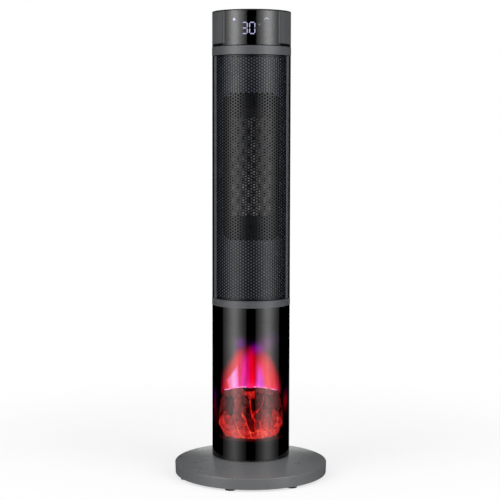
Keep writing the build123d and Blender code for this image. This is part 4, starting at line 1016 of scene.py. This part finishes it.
# Each lump: place along the heap and height, half width, half length, tilt in degrees, how far it
# stands out, how much it glows from within and how light its ash is
LUMPS = (
    (-19.0, 107.0, 10.0, 23.0, -5.0, 6.0, 0.02, 0.62), (-27.0, 137.0, 13.0, 8.5, 8.0, 4.5, 0.04, 0.75),
    (-43.0, 116.0, 8.0, 13.0, -6.0, 5.0, 0.00, 0.12), (-52.5, 87.0, 9.5, 17.0, 4.0, 6.0, 0.62, 0.3),
    (-35.0, 82.0, 6.0, 10.0, 10.0, 5.0, 0.10, 0.5), (-14.5, 76.0, 10.0, 9.5, 10.0, 5.0, 0.50, 0.4),
    (-2.0, 93.0, 5.0, 21.0, -19.0, 4.0, 0.20, 0.1), (-9.5, 125.0, 6.0, 9.0, 0.0, 4.5, 0.00, 0.30),
    (-1.5, 134.0, 8.0, 5.5, 5.0, 4.5, 0.85, 0.2), (5.0, 117.0, 5.5, 11.0, 10.0, 1.5, 0.00, 0.0),
    (15.0, 126.0, 8.0, 13.0, 6.0, 4.5, 0.02, 0.22), (4.0, 105.0, 3.5, 6.0, 0.0, 3.0, 0.80, 0.2),
    (12.0, 100.0, 7.0, 8.0, -20.0, 4.5, 0.12, 0.3), (33.0, 121.0, 11.0, 14.0, -10.0, 6.0, 0.00, 0.40),
    (25.5, 98.0, 7.5, 18.0, 4.0, 5.5, 0.03, 0.60), (50.0, 88.0, 9.5, 16.0, -6.0, 6.0, 0.62, 0.3),
    (34.5, 86.0, 5.5, 10.0, -4.0, 5.0, 0.50, 0.5), (13.5, 86.0, 6.5, 8.0, 0.0, 4.5, 0.42, 0.3),
    (23.0, 71.0, 13.0, 7.5, -6.0, 5.0, 0.70, 0.5), (44.0, 70.0, 9.0, 7.0, 8.0, 4.5, 0.55, 0.4),
    (7.0, 68.0, 7.0, 7.0, 0.0, 4.0, 0.50, 0.3), (-29.0, 69.0, 11.0, 7.0, -6.0, 4.5, 0.62, 0.4),
    (-7.0, 66.0, 6.0, 6.0, 0.0, 4.0, 0.42, 0.3), (38.0, 138.0, 13.0, 7.0, -6.0, 4.5, 0.03, 0.60),
    (-2.0, 144.0, 10.0, 4.5, 0.0, 4.0, 0.00, 0.05), (17.0, 141.5, 9.0, 6.0, -6.0, 4.5, 0.03, 0.5),
    (-48.0, 135.0, 9.0, 9.0, 0.0, 4.5, 0.10, 0.45), (58.0, 118.0, 9.0, 14.0, 5.0, 4.5, 0.02, 0.25),
    (-61.0, 112.0, 8.0, 16.0, -4.0, 4.5, 0.02, 0.25), (-58.0, 68.0, 9.0, 8.0, 6.0, 4.0, 0.3, 0.3),
    (61.0, 69.0, 9.0, 8.0, -6.0, 4.0, 0.3, 0.3), (-75.0, 90.0, 10.0, 24.0, 0.0, 4.0, 0.03, 0.2),
    (76.0, 90.0, 10.0, 24.0, 0.0, 4.0, 0.03, 0.2), (66.0, 92.0, 8.0, 14.0, 0.0, 4.0, 0.05, 0.2),
    (-67.0, 78.0, 8.0, 12.0, 0.0, 4.0, 0.05, 0.2),
)
# Extra bright cracks: the points of each line along the heap, its half width and its strength
VEINS = (
    (((-13.5, 106), (-8.0, 92), (-3.0, 78), (4.0, 62)), 1.2, 0.84),
    (((-27.0, 126), (-30.0, 108), (-26.0, 90), (-22.0, 80)), 1.5, 0.62),
    (((-24.0, 82), (-19.0, 70), (-15.0, 62)), 1.5, 1.35),
    (((-1.5, 128), (-1.0, 114), (3.0, 104), (6.0, 94)), 1.0, 0.70),
    (((22.0, 138), (21.0, 122), (15.5, 113), (9.0, 107)), 1.2, 0.60),
    (((14.5, 92), (15.5, 82)), 1.0, 0.92), (((22.0, 75), (30.0, 69)), 4.5, 0.86),
    (((28.0, 111), (35.0, 107)), 0.8, 0.55), (((-47.5, 124), (-46.0, 106)), 0.7, 0.45),
    (((-50.0, 98), (-44.0, 84), (-43.0, 70)), 1.3, 0.75),
    (((46.0, 96), (43.0, 82), (45.0, 70)), 1.3, 0.75),
    (((8.0, 75), (16.0, 78)), 1.0, 0.9),
)


print("lumps:", len(LUMPS), "bright cracks:", len(VEINS))

# %% [markdown]
# Each point of the relief asks three things: how wide the bare heap is at its height, which lump
# it belongs to and how near the next one is, and how near a bright crack runs. From the answers
# come its radius, its heat and the lightness of its ash, which the finish then turns into colour.

# %% Claims of the lumps and strength of the cracks


def heap_radius(share):
    """Radius of the bare heap at a share of its height."""
    for (s0, r0), (s1, r1) in zip(HEAP, HEAP[1:]):
        if share <= s1:
            return r0 + (r1 - r0) * soft_step((share - s0) / (s1 - s0))
    return HEAP[-1][1]


def coal_at(along, z):
    """Nearest lump at a point of the heap, how deep into it the point is, and how near a crack."""
    claims = []
    for lump in LUMPS:
        a, b, wide, tall, tilt = lump[:5]
        turn = radians(tilt)
        u, v = along - a, z - b
        across = (u * cos(turn) - v * sin(turn)) / wide
        length = (u * sin(turn) + v * cos(turn)) / tall
        claims.append(((abs(across) ** 2.2 + abs(length) ** 2.2) ** (1 / 2.2), lump))
    claims.sort(key=lambda claim: claim[0])
    (first, lump), (second, _) = claims[:2]
    return lump, first, (second - first) * lump[2] / 2


def vein_at(along, z):
    """Strength of the bright cracks at a point of the heap."""
    strongest = 0.0
    for line, half, strength in VEINS:
        for (x0, z0), (x1, z1) in zip(line, line[1:]):
            run = (x1 - x0) ** 2 + (z1 - z0) ** 2
            share = clamp(((along - x0) * (x1 - x0) + (z - z0) * (z1 - z0)) / run)
            far = hypot(along - x0 - share * (x1 - x0), z - z0 - share * (z1 - z0)) / half
            strongest = max(strongest, strength * soft_step(1.35 - far * 0.75))
    return strongest


def ember_heat(azimuth, z, crack, vein, rough, shine, ash):
    """Heat from 0 to 1: the strongest of thin cracks, lit lumps, bright cracks, foot and bath."""
    low_glow = fall(z, 72, 45)
    thin = fall(crack, 0, 1.3) * (0.24 + 0.60 * low_glow + 0.2 * rough)
    core = shine * (0.80 + 0.55 * rough) * (0.75 + 0.35 * low_glow)
    foot = 0.55 * fall(z, 64, 22) * (0.9 + 0.5 * rough)
    bath = (0.21 + 0.34 * fall(z, 66, 42) + 0.10 * rough) * (0.5 + 1.2 * ash)
    bath *= 1 - 0.75 * fall(crack, 0, CRACK_W) * (1 - low_glow)
    side = fall(abs(azimuth), 72, 24)
    return clamp(max(thin, core, bath, vein * (0.9 + 0.3 * rough), foot) * side)


print("nearest lump in front at 100 mm:", coal_at(0.0, 100.0)[0][:2])

# %% Coal relief
low, high = box_of("coal_bed")
COAL_LOW, COAL_CREST = low.z + 0.3, high.z + 0.5
COAL_REACH = 100.0
COAL_COLUMNS, COAL_ROWS = 300, 150
# The crest drops towards the sides, and a little in the middle
SIDE_DROP, MIDDLE_DIP, DIP_HALF = 12.5, 1.6, 11
# The relief stays inside the tube and in front of the flame screen
COAL_OUT, COAL_BACK = 57.0, 4.6
points = []
heat = []
tones = []
crest = []
for row in range(COAL_ROWS + 1):
    share = row / COAL_ROWS
    for column in range(COAL_COLUMNS + 1):
        azimuth = COAL_REACH * (2 * column / COAL_COLUMNS - 1)
        top = COAL_CREST - SIDE_DROP * sin(radians(azimuth)) ** 2
        top -= MIDDLE_DIP * exp(-(azimuth / DIP_HALF) ** 2)
        z = COAL_LOW + (top - COAL_LOW) * share
        along = COAL_R * radians(azimuth)
        bend = 1.6 * noise.noise_vector(Vector((along / 8.0, 5.0, z / 8.0)))
        lump, claim, crack = coal_at(along + bend.x, z + bend.z)
        rise, shine, ash = lump[5:]
        rough = noise.fractal(Vector((along / 4.0, 0.5, z / 6.0)), 0.9, 2.1, 4)
        grit = noise.fractal(Vector((along / 1.3, 9.5, z / 1.6)), 1.0, 2.1, 3)
        vein = vein_at(along + 0.5 * bend.x, z + 0.5 * bend.z)
        dip = fall(crack, 0, CRACK_W)
        dome = rise * (1 - min(1.0, claim) ** 2) ** 0.5
        radius = heap_radius(share) + dome - 1.6 * dip - 0.8 * min(1.0, vein)
        radius = min(COAL_OUT, radius + 0.5 * rough + 0.10 * grit)
        x, y, _ = on_tower(radius, azimuth, z)
        points.append((x, min(COAL_BACK, y), z))
        if row == COAL_ROWS:
            crest.append((azimuth, radius, z))
        heat.append(ember_heat(azimuth, z, crack, vein, rough, shine, ash))
        tones.append(clamp(ash * (1.0 + 0.5 * rough) + 0.10 * grit - 0.35 * dip))
print("coal relief points:", len(points), "mean heat:", round(sum(heat) / len(heat), 3))

# %% [markdown]
# The coals glow by a ramp from black through deep red to orange, which the heat of each point
# picks from. A little light from the ash itself is added, because the lamps behind shine through
# the whole moulding. Grain keeps the ash from looking like paint.

# %% Coal finish
COAL_GAIN = 3.2
material, tree, surface = shader("Glowing coals", Emission_Strength=COAL_GAIN, Specular_IOR_Level=0.05)
hot = add(tree, "ShaderNodeAttribute", attribute_name="ember_glow").outputs["Fac"]
tone = add(tree, "ShaderNodeAttribute", attribute_name="coal_tone").outputs["Fac"]
ash = placed_group(tree, grain, Colour=blend(tree, tone, paint(10, 6, 6), paint(150, 118, 112)),
                   Spread=0.3, Scale=900.0, Roughness=0.7)
ember = stops(tree, hot, [(0.0, grey(0.0)), (0.10, (0.010, 0.0, 0.0, 1)),
                          (0.35, (0.22, 0.0, 0.001, 1)), (0.60, (0.62, 0.008, 0.008, 1)),
                          (0.85, (0.95, 0.07, 0.04, 1)), (1.0, (1.0, 0.32, 0.08, 1))])
lit_ash = blend(tree, 1.0, ash["Colour"], (0.26, 0.15, 0.15, 1), "MULTIPLY")
bump = add(tree, "ShaderNodeBump", {"Strength": 0.6, "Distance": 0.4 * MM, "Height": ash["Height"]})
feed(surface, Base_Color=ash["Colour"], Roughness=ash["Roughness"], Normal=bump.outputs[0],
     Emission_Color=blend(tree, 1.0, ember, lit_ash, "ADD"))
FINISH["coal_resin"] = material
coals = piece("glowing_coals", points, grid_faces(COAL_COLUMNS, COAL_ROWS), "tower", material,
              ["coal_bed"], 60)
store(coals, "ember_glow", heat)
store(coals, "coal_tone", tones)
print("coal faces:", len(coals.data.polygons))

# %% [markdown]
# ## Edge light and liner
# The lamps behind the coals catch the top edge of the moulding, which shows as a thin pink line:
# a slim bar that follows the last row of the relief. Beside the fire a matt black liner keeps
# stray light off the tube, and takes a soft red and violet glow near the coals, which is a painted
# reflection of the fire's light in the tube's inner wall. The glow is a few round spots added up
# at each point of a fine grid, as the flame picture is.

# %% Lit edge of the coals
EDGE_SECTION = ((0.3, -0.7), (0.3, 1.0), (-0.9, 1.0), (-0.9, -0.7))
parts = []
for start, end in ((-66, -9), (6, 68)):
    run = [place for place in crest if start <= place[0] <= end]
    points = [on_tower(radius + out, azimuth, z + up) for azimuth, radius, z in run
              for out, up in EDGE_SECTION]
    last = 4 * (len(run) - 1)
    faces = [(k + m, k + (m + 1) % 4, k + 4 + (m + 1) % 4, k + 4 + m)
             for k in range(0, last, 4) for m in range(4)]
    parts.append((points, faces + [(0, 1, 2, 3), (last, last + 1, last + 2, last + 3)]))
material, tree, surface = shader("Lit coal edge", Base_Color=paint(60, 20, 24), Roughness=0.6,
                                 Emission_Strength=5.0)
feed(surface, Emission_Color=stops(tree, speckle(tree, 160.0), [
    (0.35, (0.45, 0.02, 0.06, 1)), (0.60, (1.0, 0.26, 0.62, 1))]))
piece("lit_coal_edge", *joined(parts), "tower", material)
print("lit edge points:", sum(len(points) for points, _ in parts))

# %% Black liner beside the fire
LINER_R = 58.1
LINER_LOW, LINER_TOP = 63.0, 268.0
LINER_START, LINER_SPAN = 57.0, 120.5
LINER_STEPS = 60
# Spots of painted reflection of the fire's light: azimuth and height of the middle, half sizes
# and colour
PAINTED_REFLECTION_SPOTS = ((68, 121, 10, 12, (0.24, 0.0, 0.006)), (-78, 114, 9, 14, (0.26, 0.0, 0.03)),
         (79, 137, 8, 9, (0.05, 0.0, 0.10)), (-75, 131, 8, 9, (0.05, 0.0, 0.10)),
         (80, 104, 8, 12, (0.05, 0.0, 0.03)), (-66, 96, 6, 14, (0.04, 0.0, 0.0)))
parts = []
glows = []
for side, _ in SIDES:
    places = [(side * (LINER_START + LINER_SPAN * column / LINER_STEPS),
               LINER_LOW + (LINER_TOP - LINER_LOW) * row / LINER_STEPS)
              for row in range(LINER_STEPS + 1) for column in range(LINER_STEPS + 1)]
    for u, z in places:
        glows.append([sum(values) for values in zip(*(spot_light(u, z, spot, 1.3) for spot in PAINTED_REFLECTION_SPOTS))])
    parts.append(([on_tower(LINER_R, u, z) for u, z in places], grid_faces(LINER_STEPS, LINER_STEPS)))
# painted reflection: the liner's emission draws the red and violet reflection of the fire
material, tree, surface = shader("Liner black", Roughness=0.9, Emission_Strength=3.4,
                                 Specular_IOR_Level=0.0)
light = add(tree, "ShaderNodeAttribute", attribute_name="painted_fire_reflection").outputs["Color"]
feed(surface, Emission_Color=light,
     Base_Color=stops(tree, speckle(tree, 900.0), [(0.3, grey(0.0008)), (0.7, grey(0.003))]))
liner = piece("black_liner", *joined(parts), "tower", material)
store(liner, "painted_fire_reflection", glows)
print("liner faces:", len(liner.data.polygons))

# %% [markdown]
# ## Smoked tube
# The tube is clear plastic that is printed black on the inside except for a soft-edged window in
# front of the flames. It stays glossy all over, so it is one glass-like material whose colour
# fades from smoky clear to black outside the window.

# %% Smoked tube finish
# Where the window fades: degrees round the tube, then metres up it at its foot and at its head
FADE_SIDE, FADE_FOOT, FADE_HEAD = (58, 92), (0.057, 0.070), (0.212, 0.250)
GLASS_IOR = 1.58
material, tree, surface = shader("Smoked gloss", Roughness=0.03, IOR=GLASS_IOR, Transmission_Weight=1.0)
x, y, z = object_axes(tree)
across = spread_to(tree, from_front(x, y), *(radians(side) for side in FADE_SIDE), 1.0, 0.0)
upward = maths(tree, "MULTIPLY", spread_to(tree, z, *FADE_FOOT, 0.0, 1.0),
               spread_to(tree, z, *FADE_HEAD, 1.0, 0.0))
speck = spread_to(tree, speckle(tree, 300.0, Detail=2.0), 0.0, 1.0, 0.97, 1.03)
window = maths(tree, "MULTIPLY", maths(tree, "MULTIPLY", across, upward), speck)
feed(surface, Base_Color=blend(tree, window, grey(0.0), (0.30, 0.29, 0.30, 1)))
FINISH["smoked_gloss"] = material
print("window of the tube:", FADE_SIDE[0], "to", FADE_SIDE[1], "degrees each way")

# %% [markdown]
# The display lens is of the same kind, a little less polished. It is clear in the middle, where
# the lamps shine through, and printed black towards its sides, which hides the board's ends.

# %% Display lens finish
FADE_DISPLAY = (0.028, 0.036)
material, tree, surface = shader("Display gloss", Roughness=0.06, IOR=GLASS_IOR, Transmission_Weight=1.0)
sideways = spread_to(tree, maths(tree, "ABSOLUTE", object_axes(tree)[0]), *FADE_DISPLAY, 1.0, 0.0)
feed(surface, Base_Color=blend(tree, sideways, grey(0.0), (0.11, 0.11, 0.13, 1)))
FINISH["display_gloss"] = material
print("clear half width of the display:", FADE_DISPLAY[0] / MM, "mm")

# %% [markdown]
# ## Display
# The two digits are seven-bar figures on the lamp block behind the lens. Each bar is a slim six
# sided plate, bevelled where it meets its neighbours, with a cold white glow. The small lamps
# above them light a dot and an arc.

# %% Digits


def lamp_light(name, strength, dim, bright):
    """Finish of a lit mark, whose light wanders a little between two colours."""
    material, tree, surface = shader(name, Base_Color=paint(200, 202, 220), Roughness=0.4,
                                     Emission_Strength=strength)
    feed(surface, Emission_Color=blend(tree, speckle(tree, 500.0), dim, bright))
    return material


digit_light = lamp_light("Lit digits", 6.5, (0.66, 0.64, 0.86, 1), (0.80, 0.80, 1.0, 1))
icon_light = lamp_light("Lit icons", 9.0, (0.62, 0.62, 0.8, 1), (0.8, 0.8, 1.0, 1))
# Ends of the seven bars: column, and row from the foot
BARS = {"a": ((0, 2), (1, 2)), "b": ((1, 2), (1, 1)), "c": ((1, 1), (1, 0)), "d": ((0, 0), (1, 0)),
        "e": ((0, 1), (0, 0)), "f": ((0, 2), (0, 1)), "g": ((0, 1), (1, 1))}
BAR_HALF = 0.78
DIGIT_FACE = box_of("digit_module")[0].y - 0.05
DIGIT_Z = (688.6, 705.4)
# Left and right end of each digit, and the bars that are lit in it
DIGITS = ((-14.2, -6.6, "abcdg"), (-3.0, 4.8, "abcdef"))


def bar(start, end, half, front, back):
    """Slim six-sided plate between two points in x and z."""
    a, b = Vector(start), Vector(end)
    along = (b - a).normalized()
    side = Vector((-along.y, along.x))
    a, b = a + along * half * 0.9, b - along * half * 0.9
    outline = [a, a + along * half + side * half, b - along * half + side * half, b,
               b - along * half - side * half, a + along * half - side * half]
    points = [(p.x, front, p.y) for p in outline] + [(p.x, back, p.y) for p in outline]
    faces = [tuple(range(6)), tuple(reversed(range(6, 12)))]
    faces += [(k, 6 + k, 6 + (k + 1) % 6, (k + 1) % 6) for k in range(6)]
    return points, faces


parts = []
for x0, x1, lit_bars in DIGITS:
    z0, z1 = DIGIT_Z
    for key in lit_bars:
        ends = [(x0 + (x1 - x0) * across, z0 + (z1 - z0) * up / 2) for across, up in BARS[key]]
        parts.append(bar(*ends, BAR_HALF, DIGIT_FACE - 0.25, DIGIT_FACE + 0.02))
digits = piece("lit_digits", *joined(parts), "tower", digit_light)
print("digit bars:", len(parts))

# %% Icon lamps and their marks
ICON_Z = 710.0
DOT_X, DOT_R = -26.1, 2.0
LAMP_FACE = box_of("display_board")[0].y
MARK_BACK = LAMP_FACE - 0.05


def arc_mark(centre_x, centre_z, radius, half, end, steps=18):
    """Flat curved bar in front of a lamp, from the right round to an angle in degrees."""
    points = []
    for step in range(steps + 1):
        turn = radians(end * step / steps)
        points += [(centre_x + reach * cos(turn), y, centre_z + reach * sin(turn))
                   for reach in (radius - half, radius + half) for y in (LAMP_FACE - 0.4, MARK_BACK)]
    return points, bar_faces(steps + 1, capped=True)


dot = round_bar(DOT_R, (DOT_X, LAMP_FACE - 0.5, ICON_Z), (DOT_X, MARK_BACK, ICON_Z))
dot = piece("lit_dot", *dot, "tower", digit_light)
arc = piece("lit_arc", *arc_mark(22.3, ICON_Z - 0.6, 2.7, 0.42, 180), "tower", icon_light)
degree = piece("lit_degree", *arc_mark(11.8, 702.5, 0.9, 0.16, 350), "tower", icon_light)
print("icons: dot, arc and degree mark")

# %% [markdown]
# ## Lips, seam and slots of the head
# The lens sits between two narrow grey lips, over a dark seam, and a slot under each cheek lets
# warm air out. These are thin raised or dark strips on the head's own radius, which is enough to
# draw the joints that the photograph shows.

# %% Lens lips and seam
LIP_Z = (674.7, 722.6)
# Section of a lip: distance from the middle of the lens, and how far it stands proud
LIP = ((41.0, 0.0), (41.2, 0.12), (43.9, 0.12))
SEAM_Z, SEAM_HALF = (670.6, 671.7), 43.5
SLOT_Z, SLOT_START, SLOT_SPAN = (670.6, 675.0), 44.5, 32.0
SLOT_FACE, SLOT_BACK = 60.4, 60.2
TRIM_SINK = 0.1
lips = []
slots = []
for side, _ in SIDES:
    section = [(side * degrees(asin(x / TOWER_R)), TOWER_R + out) for x, out in LIP]
    lips.append(strap(section, LIP_Z, TOWER_R - TRIM_SINK, capped=True))
    line = [(side * (SLOT_START + SLOT_SPAN * k / 16), SLOT_FACE) for k in range(17)]
    slots.append(strap(line, SLOT_Z, SLOT_BACK))
line = [(SEAM_HALF * (2 * k / 48 - 1), TOWER_R + TRIM_SINK) for k in range(49)]
seam = strap(line, SEAM_Z, TOWER_R - TRIM_SINK)
# painted shade: the seam under the lens and the slots under the cheeks are near-black strips that also
# stand for the shade in these gaps
for name, form, finish in (("lens_lips", joined(lips), FINISH["head_grey"]),
                           ("lens_seam", seam, felt_and_gap_shade), ("slot_felt", joined(slots), felt_and_gap_shade)):
    piece(name, *form, "tower", finish)
print("lips, seam and slot felt round the lens")

# %% [markdown]
# ## Marks on the mains rocker
# A bar and a ring are printed in white on the two halves of the rocker key, for on and off. They
# are thin plates laid on its two slanting faces, and they ride on the key, so they tip with it.

# %% Rocker marks
KEY_HALF = 8.0
KEY_VALLEY, KEY_EDGE = 1.2, 3.0
KEY_TILT = radians(-10)
MARK_LAYERS = (-0.05, 0.12)
RING_STEPS, RING_UP, RING_RADII = 24, -4.1, (1.25, 1.8)
joints = {joint["name"]: joint for joint in frame["record"]["behaviour"]["joints"]}
pivot = Vector(joints["rocker_tip"]["pos_m"]) / MM


def on_key(x, up, out):
    """Point on the tipped key: across, up from its valley, and proud of its face."""
    deep = KEY_VALLEY + (KEY_EDGE - KEY_VALLEY) * abs(up) / KEY_HALF + out
    return (x, pivot.y + deep * cos(KEY_TILT) - up * sin(KEY_TILT),
            pivot.z + deep * sin(KEY_TILT) + up * cos(KEY_TILT))


on_bar = [on_key(x, up, out) for x in (-0.35, 0.35) for up in (2.6, 5.6) for out in MARK_LAYERS]
off_ring = [on_key(radius * cos(angle), RING_UP + radius * sin(angle), out)
            for angle in [2 * pi * k / RING_STEPS for k in range(RING_STEPS)]
            for radius in RING_RADII for out in MARK_LAYERS]
form = joined([(on_bar, BOX_FACES), (off_ring, bar_faces(RING_STEPS, looped=True))])
marks = piece("rocker_marks", *form, "rocker",
              moulded("Mark white", paint(206, 207, 208), 0.5, 0.04, 2400, 0.004))
print("rocker marks: bar and ring")

# %% [markdown]
# ## Finishes on the frame's own parts
# Every CAD part that keeps its shape takes the finish of its slot.

# %% Dress the CAD parts
OWN = {
    "top_panel": moulded("Touch panel satin", paint(9, 9, 10), 0.34, 0.04, 1500, 0.004, 0.03,
                         Specular_IOR_Level=0.25),
    # painted shade: the steel duct's floor and roof are made near black, standing for the shade in the
    # duct above and below the element
    "duct_floor": moulded("Duct floor shade black", paint(9, 9, 9), 0.8, 0.05, 1200, 0.02, 0.0),
    "duct_roof": moulded("Duct roof shade black", paint(9, 9, 9), 0.8, 0.05, 1200, 0.02, 0.0),
    "power_board": moulded("Black circuit board", paint(14, 15, 15), 0.45, 0.1, 700, 0.02),
}
for node, part in cad.items():
    slot_name = part.data.materials[0].name.split(".")[0] if part.data.materials else ""
    finish = OWN.get(node) or FINISH.get(slot_name)
    if finish:
        part.data.materials[0] = finish
    else:
        print("no finish for", node, slot_name)
print("dressed parts:", len(cad))
